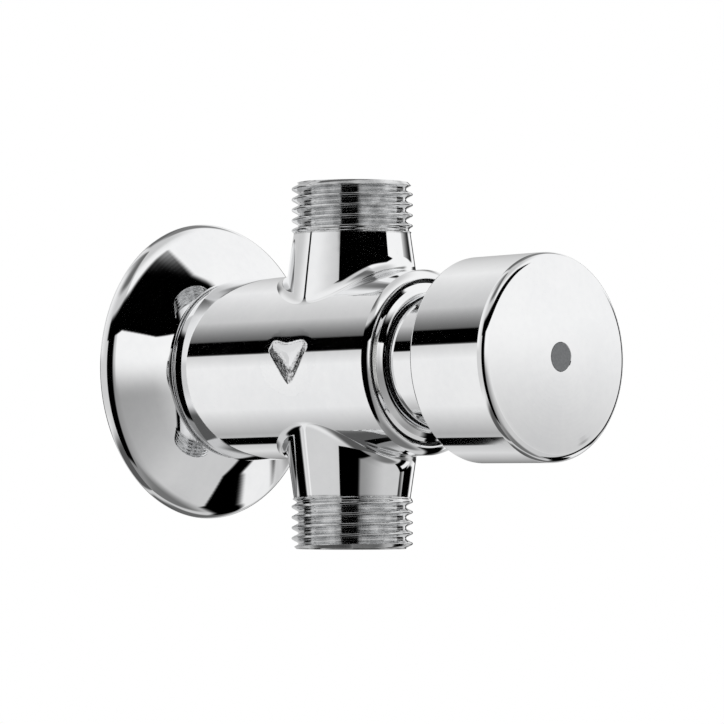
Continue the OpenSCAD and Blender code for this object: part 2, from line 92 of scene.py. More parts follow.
class Graph:
    """Adds nodes to a shader tree and wires them."""

    def __init__(self, tree: Tree) -> None:
        """Takes the tree that the nodes go into."""
        self.tree = tree

    def feed(self, node: Node, inputs: dict[str | int, object]) -> Node:
        """Gives a node its inputs.

        Args:
            node: The node.
            inputs: Sockets or plain values by the input's name or number.

        Returns:
            The same node.
        """
        for key, value in inputs.items():
            if isinstance(value, Socket):
                self.tree.links.new(value, node.inputs[key])
            else:
                node.inputs[key].default_value = value
        return node

    def add(self, kind: str, inputs: dict[str | int, object] | None = None, **settings: object) -> Node:
        """Adds a node.

        Args:
            kind: The node's type.
            inputs: Sockets or plain values by the input's name or number.
            settings: The node's own settings.

        Returns:
            The new node.
        """
        node = self.tree.nodes.new(kind)
        for key, value in settings.items():
            setattr(node, key, value)
        return self.feed(node, inputs or {})

    def group(self, tree: Tree, **inputs: Socket | float) -> Node:
        """Adds a shared group with its own inputs."""
        return self.add("ShaderNodeGroup", inputs, node_tree=tree)

    def math(self, operation: str, *values: Socket | float) -> Socket:
        """Adds a Math node on sockets or numbers and gives its output."""
        return self.add("ShaderNodeMath", dict(enumerate(values)), operation=operation).outputs[0]

    def rise(self, value: Socket, start: float, end: float, low: float = 0.0, high: float = 1.0) -> Socket:
        """Gives a soft step from low to high as a value goes from start to end."""
        inputs = {"Value": value, "From Min": start, "From Max": end, "To Min": low, "To Max": high}
        return self.add("ShaderNodeMapRange", inputs, interpolation_type="SMOOTHSTEP").outputs["Result"]

    def blend(self, factor: Socket | float, a: Socket | float, b: Socket | float) -> Socket:
        """Goes from value a to value b as the factor goes from 0 to 1."""
        return self.add("ShaderNodeMix", {0: factor, 2: a, 3: b}, data_type="FLOAT").outputs[0]

    def colours(self, factor: Socket, a: Socket | Triple, b: Triple) -> Socket:
        """Goes from colour a to colour b as the factor goes from 0 to 1."""
        first = a if isinstance(a, Socket) else (*a, 1.0)
        return self.add("ShaderNodeMix", {0: factor, 6: first, 7: (*b, 1.0)}, data_type="RGBA").outputs[2]

    def place(self) -> Socket:
        """Gives the place on the object."""
        return self.add("ShaderNodeTexCoord").outputs["Object"]

    def noise(self, place: Socket, scale: Socket | float, detail: float) -> Socket:
        """Gives a soft random value over the surface."""
        return self.add("ShaderNodeTexNoise", {"Vector": place, "Scale": scale, "Detail": detail}).outputs["Fac"]

    def bump(self, height: Socket, distance: Socket | float, **more: Socket) -> Socket:
        """Gives the normal that a height makes."""
        inputs = {"Strength": 1.0, "Distance": distance, "Height": height, **more}
        return self.add("ShaderNodeBump", inputs).outputs["Normal"]


def new_group(
    name: str, values: dict[str, float | Triple], outputs: tuple[str, ...],
) -> tuple[Graph, dict[str, Socket], Node]:
    """Starts a node group.

    Args:
        name: The group's name.
        values: Its inputs, numbers or vectors, with their defaults.
        outputs: Its outputs, which are numbers but for the normal.

    Returns:
        The graph, the inputs' sockets inside the group, and the output node.
    """
    tree = bpy.data.node_groups.new(name, "ShaderNodeTree")

    def socket(key: str, way: str, vector: bool) -> bpy.types.NodeTreeInterfaceSocket:
        """Adds a number or a vector to the group's inputs or outputs."""
        kind = "NodeSocketVector" if vector else "NodeSocketFloat"
        return tree.interface.new_socket(name=key, in_out=way, socket_type=kind)

    for key, value in values.items():
        socket(key, "INPUT", isinstance(value, tuple)).default_value = value
    for key in outputs:
        socket(key, "OUTPUT", key == "Normal")
    graph = Graph(tree)
    inside = graph.add("NodeGroupInput")
    return graph, {key: inside.outputs[key] for key in values}, graph.add("NodeGroupOutput")


def new_material(name: str) -> tuple[Material, Graph, Node]:
    """Starts a material.

    Args:
        name: The material's name.

    Returns:
        The material, its graph and its surface node.
    """
    material = bpy.data.materials.new(name)
    material.use_nodes = True
    return material, Graph(material.node_tree), material.node_tree.nodes["Principled BSDF"]


class Effects:
    """The effects that several finishes share, each built once as a node group."""

    def __init__(self) -> None:
        """Builds the groups."""
        self.cloud = self._cloud()
        self.lathe = self._lathe()
        self.grain = self._grain()

    @staticmethod
    def _cloud() -> Tree:
        """Builds soft uneven patches, as polish and moulding leave them.

        Returns:
            The group.
        """
        graph, values, out = new_group("uneven_polish", {"Scale": 150.0, "Depth": 0.00001}, ("Mask", "Normal"))
        place = graph.place()
        wide = graph.noise(place, values["Scale"], 3.0)
        fine = graph.noise(place, graph.math("MULTIPLY", values["Scale"], 9.0), 2.0)
        mask = graph.rise(graph.blend(0.35, wide, fine), 0.3, 0.7)
        graph.feed(out, {"Mask": mask, "Normal": graph.bump(wide, values["Depth"])})
        return graph.tree

    @staticmethod
    def _lathe() -> Tree:
        """Builds the fine rings that a turning tool leaves round the barrel's axis.

        Returns:
            The group.
        """
        graph, values, out = new_group(
            "turning_lines", {"Pitch": 0.00025, "Depth": 0.000002, "Wander": 0.3}, ("Mask", "Normal"))
        place = graph.place()
        x, y, z = graph.add("ShaderNodeSeparateXYZ", {"Vector": place}).outputs
        radius = graph.math("SQRT", graph.math("ADD", graph.math("MULTIPLY", x, x), graph.math("MULTIPLY", z, z)))
        path = graph.math("SUBTRACT", radius, graph.math("MULTIPLY", y, 0.83))
        shift = graph.math("MULTIPLY", graph.noise(place, 900.0, 1.0), values["Wander"])
        turns = graph.math("ADD", graph.math("DIVIDE", path, values["Pitch"]), shift)
        wave = graph.math("SINE", graph.math("MULTIPLY", turns, TURN))
        coarse = graph.add("ShaderNodeTexNoise", {
            "W": graph.math("MULTIPLY", turns, 0.37), "Scale": 1.0, "Detail": 2.0}, noise_dimensions="1D")
        height = graph.math("MULTIPLY", graph.math("MULTIPLY_ADD", wave, 0.5, 0.5), coarse.outputs["Fac"])
        graph.feed(out, {"Mask": height, "Normal": graph.bump(height, values["Depth"])})
        return graph.tree

    @staticmethod
    def _grain() -> Tree:
        """Builds the lumps and pits of an unpolished casting, and a mask over them that the finishes use for roughness
        and for painted shade in the pits.

        Returns:
            The group.
        """
        graph, values, out = new_group("cast_grain", {"Size": 0.0004, "Depth": 0.00006}, ("Mask", "Height"))
        place = graph.place()
        scale = graph.math("DIVIDE", 1.0, values["Size"])
        cells = graph.add("ShaderNodeTexVoronoi", {"Vector": place, "Scale": scale}, feature="SMOOTH_F1")
        mix = graph.blend(0.5, cells.outputs["Distance"], graph.noise(place, scale, 4.0))
        height = graph.math("MULTIPLY", mix, values["Depth"])
        graph.feed(out, {"Mask": graph.rise(mix, 0.3, 0.75), "Height": height})
        return graph.tree


@dataclass(frozen=True)
class Finish:
    """A finish whose colour and roughness vary softly over the surface, chrome if nothing else is said."""

    name: str
    rough: Point
    scale: float
    depth: float = 0.0
    dark: Triple = (0.90, 0.905, 0.915)
    light: Triple = (0.95, 0.953, 0.958)
    metallic: float = 1.0
    pitch: float = 0.0
    pitch_depth: float = 0.0
    grain: float = 0.0
    # Colour that grain finishes darken towards in their pits: painted shade.
    pit_shade: Triple = (0.16, 0.16, 0.165)
    coat: float = 0.0

    def material(self, effects: Effects) -> Material:
        """Builds the material.

        Args:
            effects: The shared node groups.

        Returns:
            The material, with turning lines or cast grain where the finish has them.
        """
        material, graph, surface = new_material(self.name)
        cloud = graph.group(effects.cloud, Scale=self.scale, Depth=self.depth)
        mask, normal = cloud.outputs["Mask"], cloud.outputs["Normal"]
        if self.pitch:
            lathe = graph.group(effects.lathe, Pitch=self.pitch, Depth=self.pitch_depth)
            mask = graph.blend(0.6, mask, lathe.outputs["Mask"])
            normal = lathe.outputs["Normal"]
        if self.grain:
            grain = graph.group(effects.grain, Depth=self.grain)
            shown = graph.add("ShaderNodeAttribute", attribute_name="grain_and_shade").outputs["Fac"]
            normal = graph.bump(graph.math("MULTIPLY", grain.outputs["Height"], shown), 1.0, Normal=normal)
            # Where the attribute lets the grain show, its mask darkens the colour towards the pit colour: painted shade
            # in the pits; the bumps and the roughness are the casting's own.
            pit_shade_mask = graph.math("MULTIPLY", grain.outputs["Mask"], shown)
            mask = graph.math("MAXIMUM", mask, pit_shade_mask)
        colour = graph.colours(mask, self.light, self.dark)
        if self.grain:
            colour = graph.colours(pit_shade_mask, colour, self.pit_shade)
        graph.feed(surface, {
            "Base Color": colour, "Roughness": graph.blend(mask, *self.rough), "Normal": normal,
            "Metallic": self.metallic, "Coat Weight": self.coat})
        return material


class Look(Enum):
    """The valve's finishes, those of the record's slots under the slot's own word."""

    CHROME = Finish("polished_chrome", (0.012, 0.03), 90.0)
    CAST = Finish("chrome_on_casting", (0.015, 0.04), 70.0, 0.000012)
    # The arrow's grain darkens its rough parts: painted shade in the pits, over real bumps.
    ARROW = Finish("chrome_on_arrow", (0.015, 0.045), 300.0, 0.000004, grain=0.00018)
    # The threads' chrome is much darker than the rest: painted shade, patchy at random.
    THREADS = Finish("chrome_on_threads", (0.04, 0.13), 420.0, 0.000012, (0.52, 0.525, 0.53), (0.86, 0.865, 0.87))
    TURNED = Finish("turned_chrome", (0.02, 0.06), 200.0, pitch=0.00032, pitch_depth=0.0000035)
    BRASS = Finish(
        "turned_brass", (0.18, 0.34), 220.0, 0.0, (0.52, 0.36, 0.15), (0.80, 0.62, 0.32),
        pitch=0.0002, pitch_depth=0.000004)
    STEEL = Finish(
        "satin_steel", (0.22, 0.38), 300.0, 0.0, (0.40, 0.40, 0.42), (0.64, 0.65, 0.67),
        pitch=0.00015, pitch_depth=0.000003)
    RUBBER = Finish("black_rubber", (0.42, 0.62), 700.0, 0.00002, (0.012, 0.012, 0.013), (0.028, 0.028, 0.029), 0.0)
    WHITE = Finish(
        "white_plastic", (0.28, 0.42), 400.0, 0.000012, (0.74, 0.74, 0.72), (0.84, 0.84, 0.82), 0.0, coat=0.05)
    GREY = Finish("grey_plastic", (0.45, 0.6), 2400.0, 0.000012, (0.13, 0.135, 0.14), (0.16, 0.165, 0.17), 0.0)


Materials = dict[Look, Material]


# ---- Drawing and turning ----


def between(a: Point, b: Point, share: float) -> Point:
    """Gives the point at a share of the way from a to b."""
    return (a[0] + (b[0] - a[0]) * share, a[1] + (b[1] - a[1]) * share)


def held(value: float) -> float:
    """Holds a value between 0 and 1."""
    return min(1.0, max(0.0, value))


def eased(value: float) -> float:
    """Holds a value between 0 and 1 and softens its start and its end."""
    t = held(value)
    return t * t * (3 - 2 * t)


def pairs(loop: list) -> list[tuple]:
    """Gives each item of a closed loop with the one after it."""
    return list(zip(loop, loop[1:] + loop[:1]))


def polar(radius: float, angle: float, height: float = 0.0) -> Vector:
    """Gives a place at an angle in radians round the upright axis."""
    return Vector((radius * math.cos(angle), radius * math.sin(angle), height))


def round_barrel(p: Point, angle: float) -> Vector:
    """Gives a place from radius and station at an angle in radians round the barrel's axis."""
    return Vector((p[0] * math.cos(angle), -p[1], p[0] * math.sin(angle)))


def arc(centre: Point, radius: float, start: float, end: float, steps: int) -> list[Point]:
    """Gives points on an arc.

    Args:
        centre: The arc's middle, as radius and station.
        radius: The arc's radius.
        start: Start angle in degrees, 0 along the radius and 90 along the station.
        end: End angle in degrees.
        steps: Number of straight pieces.

    Returns:
        The points from start to end.
    """
    angles = [math.radians(start + (end - start) * k / steps) for k in range(steps + 1)]
    return [(centre[0] + radius * math.cos(a), centre[1] + radius * math.sin(a)) for a in angles]


def with_edge_loops(points: list[Point], margin: float = 0.05, shortest: float = 0.35) -> list[Point]:
    """Adds a point near both ends of each long straight piece, so that its shading stays flat.

    Args:
        points: The outline's points.
        margin: Distance of the added points from the ends.
        shortest: Length from which a piece gets them.

    Returns:
        The points with the added ones.
    """
    result = [points[0]]
    for a, b in zip(points, points[1:]):
        length = math.dist(a, b)
        if length > shortest:
            result += [between(a, b, margin / length), between(b, a, margin / length)]
        result.append(b)
    return result


def deselect() -> None:
    """Leaves edit mode and clears the selection."""
    if bpy.context.object and bpy.context.object.mode != "OBJECT":
        bpy.ops.object.mode_set(mode="OBJECT")
    bpy.ops.object.select_all(action="DESELECT")


def turned(
    name: str, outline: list[Point], steps: int = 192, sharp: float = 24.0, closed: bool = True,
) -> Object:
    """Turns a piece about the barrel's axis, from an outline drawn point by point.

    Args:
        name: The piece's name.
        outline: Points as radius and station, in millimetres, without edge loops.
        steps: Number of steps round the axis.
        sharp: Angle in degrees from which an edge stays sharp.
        closed: True if the last point joins the first one.

    Returns:
        The new piece.
    """
    outline = with_edge_loops(outline)
    deselect()
    bpy.ops.mesh.primitive_plane_add(size=MM, location=(0, 0, 0))
    obj = bpy.context.object
    obj.name = obj.data.name = name
    bpy.ops.object.mode_set(mode="EDIT")
    bpy.ops.mesh.select_all(action="SELECT")
    bpy.ops.mesh.merge(type="CENTER")
    here = outline[0]
    bpy.ops.transform.translate(value=(here[0] * MM, -here[1] * MM, 0))
    for there in outline[1:] + outline[:int(closed)]:
        step = ((there[0] - here[0]) * MM, -(there[1] - here[1]) * MM, 0)
        bpy.ops.mesh.extrude_region_move(TRANSFORM_OT_translate={"value": step})
        here = there
    bpy.ops.mesh.select_all(action="SELECT")
    bpy.ops.mesh.remove_doubles(threshold=DRAWN_APART)
    bpy.ops.mesh.spin(steps=steps, angle=TURN, center=(0, 0, 0), axis=(0, 1, 0))
    bpy.ops.mesh.select_all(action="SELECT")
    bpy.ops.mesh.remove_doubles(threshold=SPUN_APART)
    bpy.ops.mesh.normals_make_consistent(inside=False)
    bpy.ops.object.mode_set(mode="OBJECT")
    bpy.ops.object.shade_smooth_by_angle(angle=math.radians(sharp))
    return obj


class Skin:
    """A mesh whose corners keep the exact normals of the surface that they lie on."""

    PER_MM = 2e4

    def __init__(self, name: str) -> None:
        """Starts an empty skin.

        Args:
            name: The piece's name.
        """
        self.name = name
        self.points: list[Triple] = []
        self.index: dict[tuple[int, ...], int] = {}
        self.faces: list[list[int]] = []
        self.normals: list[Vector] = []

    def vertex(self, p: Vector) -> int:
        """Finds or adds a vertex.

        Args:
            p: Its place, in millimetres.

        Returns:
            The vertex's number.
        """
        key = tuple(round(c * self.PER_MM) for c in p)
        if key not in self.index:
            self.index[key] = len(self.points)
            self.points.append((p[0] * MM, p[1] * MM, p[2] * MM))
        return self.index[key]

    def face(self, corners: list[Corner]) -> None:
        """Adds a face, turned the way that its normals point.

        Args:
            corners: Places and outward normals.
        """
        ids = [self.vertex(p) for p, _ in corners]
        kept = [(i, c) for k, (i, c) in enumerate(zip(ids, corners)) if i not in ids[:k]]
        if len(kept) < 3:
            return
        outward = sum((c[1] for _, c in kept), Vector())
        a, b, c = kept[0][1][0], kept[1][1][0], kept[-1][1][0]
        if (b - a).cross(c - a).dot(outward) < 0:
            kept.reverse()
        self.faces.append([i for i, _ in kept])
        self.normals.extend(c[1] for _, c in kept)

    def grid(self, rows: list[list[Corner]], wraps: bool = True) -> None:
        """Adds the faces between rows of places and normals.

        Args:
            rows: Rows of equal length.
            wraps: True if each row closes on itself.
        """
        for low, high in zip(rows, rows[1:]):
            count = len(low)
            for k in range(count if wraps else count - 1):
                n = (k + 1) % count
                self.face([low[k], low[n], high[n], high[k]])

    def finish(self) -> Object:
        """Makes the object, smooth and with its own normals.

        Returns:
            The new piece.
        """
        mesh = bpy.data.meshes.new(self.name)
        mesh.from_pydata(self.points, [], self.faces)
        mesh.polygons.foreach_set("use_smooth", [True] * len(mesh.polygons))
        mesh.normals_split_custom_set([tuple(n.normalized()) for n in self.normals])
        mesh.update()
        obj = bpy.data.objects.new(self.name, mesh)
        bpy.context.scene.collection.objects.link(obj)
        return obj


# ---- The valve's parts ----


def put_on(piece: Object, body: Body, slot: Slot, finish: Material, *nodes: str) -> None:
    """Puts a piece on its body, in its finish and in place of its CAD nodes.

    Args:
        piece: The piece.
        body: The body that it rides on.
        slot: The record's slot of its finish.
        finish: The material, unless the piece has its own already.
        nodes: The CAD nodes that it stands for.
    """
    if not piece.data.materials:
        piece.data.materials.append(finish)
    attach(piece, body.value)
    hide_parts(*nodes)
    LOG.info("%s rides on %s in %s, %d faces", piece.name, body.value, slot.value, len(piece.data.polygons))


@dataclass
class Shared:
    """The sizes that several parts of the valve share."""

    wall_gap: float = 36.0
    reach: float = 31.65
    thread_length: float = 8.8
    overlap: float = 0.3
    water_r: float = 7.5
    mouth_chamfer: float = 0.35
    neck_tip_r: float = 10.1
    barrel_r: float = 15.9
    front: float = 54.4
    mouth_floor: float = 52.8
    back: float = 6.8


@dataclass
class Casting(Shared):
    """The barrel, its two necks and the waterways in them."""

    water_floor: float = 13.0
    neck_root_r: float = 11.1
    fillet: float = 3.2
    rear_w: float = 0.9
    rear_h: float = 3.2
    front_w: float = 1.3
    front_h: float = 0.8
    rolled: Point = (56.0, 33.0)
    mouth_r: float = 14.3
    bore_r: float = 12.6
    bore_floor: float = 46.2
    spigot_r: float = 9.5
    spigot_chamfer: float = 0.4
    grip_groove: Triple = (4.0, 5.6, 8.96)
    stud_r: float = 3.4
    stud_depth: float = 8.4
    drill_tip: float = 1.2
    port_r: float = 2.9
    port_shift: float = 4.4
    port_depth: float = 1.9
    columns: int = 256
    water_columns: int = 96
    neck_rows: int = 8
    fillet_rows: int = 14
    barrel_rows: int = 12
    crowding: float = 1.25
    edge_soft: float = 0.12
    edge_steps: int = 4
    rolls: int = 20
    same: float = 1e-4
    axis_r: float = 0.05
    rims: dict[str, list[float]] = field(default_factory=lambda: {"front": [], "rear": []})
    skin: Skin = field(default_factory=lambda: Skin("casting"))

    def dress(self, finishes: Materials) -> None:
        """Builds the casting and dresses it."""
        put_on(self.build(), Body.VALVE, Slot.CHROME, finishes[Look.CAST], "body")

    def build(self) -> Object:
        """Builds the casting as one skin.

        Returns:
            The casting.
        """
        for side in (1, -1):
            self._neck_and_half(side)
            self._waterway(side)
        self._ends()
        return self.skin.finish()

    @property
    def _slope(self) -> float:
        """Gives how fast the conical neck narrows upwards."""
        return (self.neck_root_r - self.neck_tip_r) / (self.reach - self.thread_length - self.barrel_r)

    def _neck_radius(self, z: float) -> float:
        """Gives the neck's radius at a height over the barrel's axis."""
        return self.neck_root_r - self._slope * (z - self.barrel_r)

    def _ball(self, phi: float) -> tuple[Vector, Vector, Vector]:
        """Rolls the fillet's ball to an angle round the neck.

        Args:
            phi: Angle round the neck, in radians.

        Returns:
            The ball's middle on a neck at the origin, and the unit directions
            from it to the neck and to the barrel.
        """
        beta = math.atan(self._slope)
        z = self.barrel_r + self.fillet
        for _ in range(self.rolls):
            q = self._neck_radius(z) + self.fillet * math.cos(beta)
            height = math.sqrt((self.barrel_r + self.fillet) ** 2 - (q * math.cos(phi)) ** 2)
            z = height - self.fillet * math.sin(beta)
        ball = polar(q, phi, height)
        return ball, -polar(math.cos(beta), phi, math.sin(beta)), -Vector((ball.x, 0, ball.z)).normalized()

    def _ray(self, phi: float, front_y: float, rear_y: float) -> list[Corner]:
        """Follows the skin from the thread over neck and fillet to the edge of the half barrel.

        Args:
            phi: Angle round the neck, in radians.
            front_y: The cylinder's front end, from the neck's axis.
            rear_y: Its rear end.

        Returns:
            Places and normals on a neck at the origin.
        """
        ball, to_neck, to_barrel = self._ball(phi)
        top, start = self.reach - self.thread_length - self.overlap, ball + self.fillet * to_neck
        heights = [top + (start.z - top) * k / self.neck_rows for k in range(self.neck_rows)]
        ray = [(polar(self._neck_radius(z), phi, z), -to_neck) for z in heights]
        turn = to_neck.angle(to_barrel)
        for k in range(self.fillet_rows + 1):
            t = k / self.fillet_rows
            way = (to_neck * math.sin((1 - t) * turn) + to_barrel * math.sin(t * turn)) / math.sin(turn)
            ray.append((ball + self.fillet * way, -way))
        foot = ray[-1][0]
        bend = math.atan2(foot.x, foot.z)
        scale = min(math.pi / 2 / abs(bend), (rear_y if foot.y > 0 else front_y) / foot.y)
        for k in range(1, self.barrel_rows + 1):
            grown = 1 + (scale - 1) * (k / self.barrel_rows) ** self.crowding
            n = Vector((math.sin(bend * grown), 0, math.cos(bend * grown)))
            ray.append((Vector((n.x * self.barrel_r, foot.y * grown, n.z * self.barrel_r)), n))
        return ray

    def _neck_and_half(self, side: int) -> None:
        """Adds one neck, its fillet and its half of the barrel, and notes where the rays meet the rims.

        Args:
            side: 1 for the upper half and -1 for the lower.
        """
        ends = {"front": -(self.front - self.front_h - self.wall_gap), "rear": self.wall_gap - self.back - self.rear_h}
        columns = []
        for k in range(self.columns):
            ray = self._ray(TURN * (k + 0.5) / self.columns, *ends.values())
            columns.append([
                (Vector((p.x, p.y - self.wall_gap, side * p.z)), Vector((n.x, n.y, side * n.z))) for p, n in ray])
            p, n = columns[-1][-1]
            for end, y in ends.items():
                if abs(p.y - (y - self.wall_gap)) < self.same:
                    self.rims[end].append(math.atan2(n.z, n.x))
        self.skin.grid(list(zip(*columns)))
        self._corners([column[-1] for column in columns])

    def _corners(self, outline: list[Corner]) -> None:
        """Closes the four corners of a half barrel, which its rays straddle.

        Args:
            outline: The rays' last points, which lie on the half's outline.
        """
        for a, b in pairs(outline):
            sideways = [p for p in (a, b) if abs(abs(p[1].x) - 1) < 1e-9]
            if len(sideways) == 1:
                end = b if sideways[0] is a else a
                n = Vector((math.copysign(1, sideways[0][1].x), 0, 0))
                self.skin.face([a, b, (Vector((n.x * self.barrel_r, end[0].y, 0)), n)])

    def _ends(self) -> None:
        """Adds the barrel's front and rear ends, on the same rays as its cylinder."""
        for end, profile in (("front", self._front_profile()), ("rear", self._rear_profile())):
            angles = sorted({round(a, 9) for a in self.rims[end]} | {0.0, round(math.pi, 9)})
            for start, stop, first, second in profile:
                self.skin.grid([
                    [(round_barrel(p, a), round_barrel(n, a)) for a in angles]
                    for p, n in ((start, first), (stop, second))])

    def _softened(self, points: list[Point], outward: int = 1) -> Run:
        """Joins points by straight pieces with flat normals and rounds the corners between them.

        Args:
            points: The points, as radius and station.
            outward: 1 or -1, the side that the metal's outside lies on.

        Returns:
            For each piece its two ends and the normal at each of them.
        """
        flat = []
        for a, b in zip(points, points[1:]):
            length = math.dist(a, b)
            n = (outward * (b[1] - a[1]) / length, -outward * (b[0] - a[0]) / length)
            flat.append((a, b, n, min(self.edge_soft / length, 1 / 3)))
        result = []
        for k, (a, b, n, cut) in enumerate(flat):
            last = k == len(flat) - 1
            stop = b if last else between(b, a, cut)
            result.append((between(a, b, cut) if k else a, stop, n, n))
            if last:
                break
            c, d, next_n, next_cut = flat[k + 1]
            before, normal, after = stop, n, between(c, d, next_cut)
            for j in range(1, self.edge_steps + 1):
                u = j / self.edge_steps
                p, m = between(between(stop, b, u), between(b, after, u), u), between(n, next_n, u)
                m = (m[0] / math.hypot(*m), m[1] / math.hypot(*m))
                result.append((before, p, normal, m))
                before, normal = p, m
        return result

    def _front_profile(self) -> Run:
        """Draws the barrel's front end, from its cylinder over the rolled chamfer into the sleeve's bore.

        Returns:
            Its pieces.
        """
        soft = self._softened([
            (self.barrel_r, self.front - self.front_h), (self.barrel_r - self.front_w, self.front),
            (self.mouth_r, self.front), (self.mouth_r, self.mouth_floor), (self.bore_r, self.mouth_floor),
            (self.bore_r, self.bore_floor), (0.5, self.bore_floor),
        ])
        swept = [(math.sin(math.radians(a)), math.cos(math.radians(a))) for a in self.rolled]
        return [(*soft[0][:2], *swept)] + soft[1:]

    def _rear_profile(self) -> Run:
        """Draws the barrel's rear end, from its cylinder over the spigot into the stud hole.

        Returns:
            Its pieces.
        """
        low, high, floor = self.grip_groove
        return self._softened([
            (self.barrel_r, self.back + self.rear_h), (self.barrel_r - self.rear_w, self.back),
            (self.spigot_r, self.back), (self.spigot_r, high), (floor, high), (floor, low), (self.spigot_r, low),
            (self.spigot_r, self.spigot_chamfer), (self.spigot_r - self.spigot_chamfer, 0.0), (self.stud_r, 0.0),
            (self.stud_r, self.stud_depth), (self.axis_r, self.stud_depth + self.drill_tip),
        ], -1)

    def _waterway(self, side: int) -> None:
        """Adds the inside of one pipe end: its bore, its floor and the port in the floor.

        Args:
            side: 1 for the inlet above and -1 for the outlet below.
        """
        floor, shift = self.water_floor, self.port_shift * side
        deep = floor - self.port_depth
        wall, level = (-1, 0), (0, 1)
        for start, stop, normal in (
            ((self.water_r, self.reach - self.mouth_chamfer, 0), (self.water_r, floor, 0), wall),
            ((self.water_r, floor, 0), (self.port_r, floor, shift), level),
            ((self.port_r, floor, shift), (self.port_r, deep, shift), wall),
            ((self.port_r, deep, shift), (self.axis_r, deep, shift), level),
        ):
            rings = []
            for radius, z, centre in (start, stop):
                middle = Vector((0, centre - self.wall_gap, 0))
                angles = [TURN * k / self.water_columns for k in range(self.water_columns)]
                rings.append([
                    (polar(radius, a, side * z) + middle, polar(normal[0], a, side * normal[1])) for a in angles])
            self.skin.grid(rings)


@dataclass
class PipeThread(Shared):
    """One threaded pipe end, with the lead-in, the run-out and the mouth of its parallel thread.

    The shares of the pitch are those of the rounded 55 degree thread form.
    """

    name: str = "inlet_thread"
    side: int = 1
    crest: float = 26.87
    crest_angle: float = 134.25
    radius: float = 10.4775
    pitch: float = 1.814
    flank: float = math.radians(27.5)
    nose_share: float = 0.1373
    nose_middle_share: float = 0.18285
    half_depth_share: float = 0.32015
    chamfer: float = 0.8
    run_out: float = 1.5
    run_out_below: float = 0.3
    neck_slope: float = 1.0 / 6.95
    around: int = 144
    per_turn: int = 24

    def dress(self, finishes: Materials) -> None:
        """Builds the threaded end and dresses it."""
        put_on(self.build(), Body.VALVE, Slot.CHROME, finishes[Look.THREADS], "body")

    def _profile(self, u: float) -> float:
        """Follows the thread form.

        Args:
            u: Distance from a crest.

        Returns:
            The height over the form's middle.
        """
        nose, middle = self.nose_share * self.pitch, self.nose_middle_share * self.pitch
        bend, v = nose * math.cos(self.flank), self.pitch / 2 - u
        if u < bend:
            return middle + math.sqrt(nose ** 2 - u ** 2)
        if v < bend:
            return -middle - math.sqrt(nose ** 2 - v ** 2)
        return (self.pitch / 4 - u) / math.tan(self.flank)

    def _radius(self, z: float, angle: float) -> float:
        """Gives the radius of the pipe end.

        Args:
            z: Height over the barrel's axis.
            angle: Angle round the pipe's axis, in radians.

        Returns:
            The thread's radius, within the turned blank.
        """
        foot = self.reach - self.thread_length
        turns = (z - self.crest) / self.pitch - (angle - math.radians(self.crest_angle)) / TURN
        depth = self.half_depth_share * self.pitch - self._profile(abs(turns - round(turns)) * self.pitch)
        cut = self.radius - depth * eased((z - foot + self.run_out_below) / self.run_out)
        blank = self.neck_tip_r + ((foot - z) * self.neck_slope if z < foot else z - foot)
        return min(cut, blank, self.radius, self.radius - (z - self.reach + self.chamfer))

    def _corner(self, z: float, angle: float, dz: float = 0.02, da: float = 0.005) -> Corner:
        """Finds a point of the thread.

        Args:
            z: Height over the barrel's axis.
            angle: Angle round the pipe's axis, in radians.
            dz: Step over which the slope upwards is taken.
            da: Step over which the slope round the axis is taken.

        Returns:
            Its place and normal.
        """
        r = self._radius(z, angle)
        up = (self._radius(z + dz, angle) - self._radius(z - dz, angle)) / (2 * dz)
        on = (self._radius(z, angle + da) - self._radius(z, angle - da)) / (2 * da)
        c, s = math.cos(angle), math.sin(angle)
        return self._turned(Vector((r * c, r * s, z)), Vector((c + on / r * s, s - on / r * c, -up)).normalized())

    def _turned(self, p: Vector, n: Vector) -> Corner:
        """Moves a place and its normal from the upright pipe end to where this one is."""
        return (Vector((p.x, p.y * self.side - self.wall_gap, p.z * self.side)),
                Vector((n.x, n.y * self.side, n.z * self.side)))

    def build(self) -> Object:
        """Builds the thread on a grid whose rows climb with it, and closes its mouth.

        Returns:
            The threaded end.
        """
        skin = Skin(self.name)
        bottom, top = self.reach - self.thread_length - self.overlap, self.reach
        climb = self.pitch / self.per_turn
        rows = math.ceil((top - bottom + self.pitch) / climb) + 1

        def corner(i: int, k: int) -> Corner:
            """Finds one point of the grid, whose last column is its first one a turn higher.

            Args:
                i: The point's row.
                k: Its column.

            Returns:
                Its place and normal.
            """
            if k == self.around:
                return corner(i + self.per_turn, 0)
            z = bottom - self.pitch + i * climb + self.pitch * k / self.around
            return self._corner(min(top, max(bottom, z)), TURN * k / self.around)

        skin.grid([[corner(i, k) for k in range(self.around + 1)] for i in range(rows + 1)], wraps=False)
        angles = [TURN * k / self.around for k in range(self.around)]
        mouth, up = self.water_r + self.mouth_chamfer, Vector((0, 0, 1))
        slants = [polar(-1, a, 1).normalized() for a in angles]
        skin.grid([[self._turned(polar(self._radius(top, a), a, top), up) for a in angles],
                   [self._turned(polar(mouth, a, top), up) for a in angles]])
        skin.grid([[self._turned(polar(mouth, a, top), n) for a, n in zip(angles, slants)],
                   [self._turned(polar(self.water_r, a, top - self.mouth_chamfer), n) for a, n in zip(angles, slants)]])
        return skin.finish()


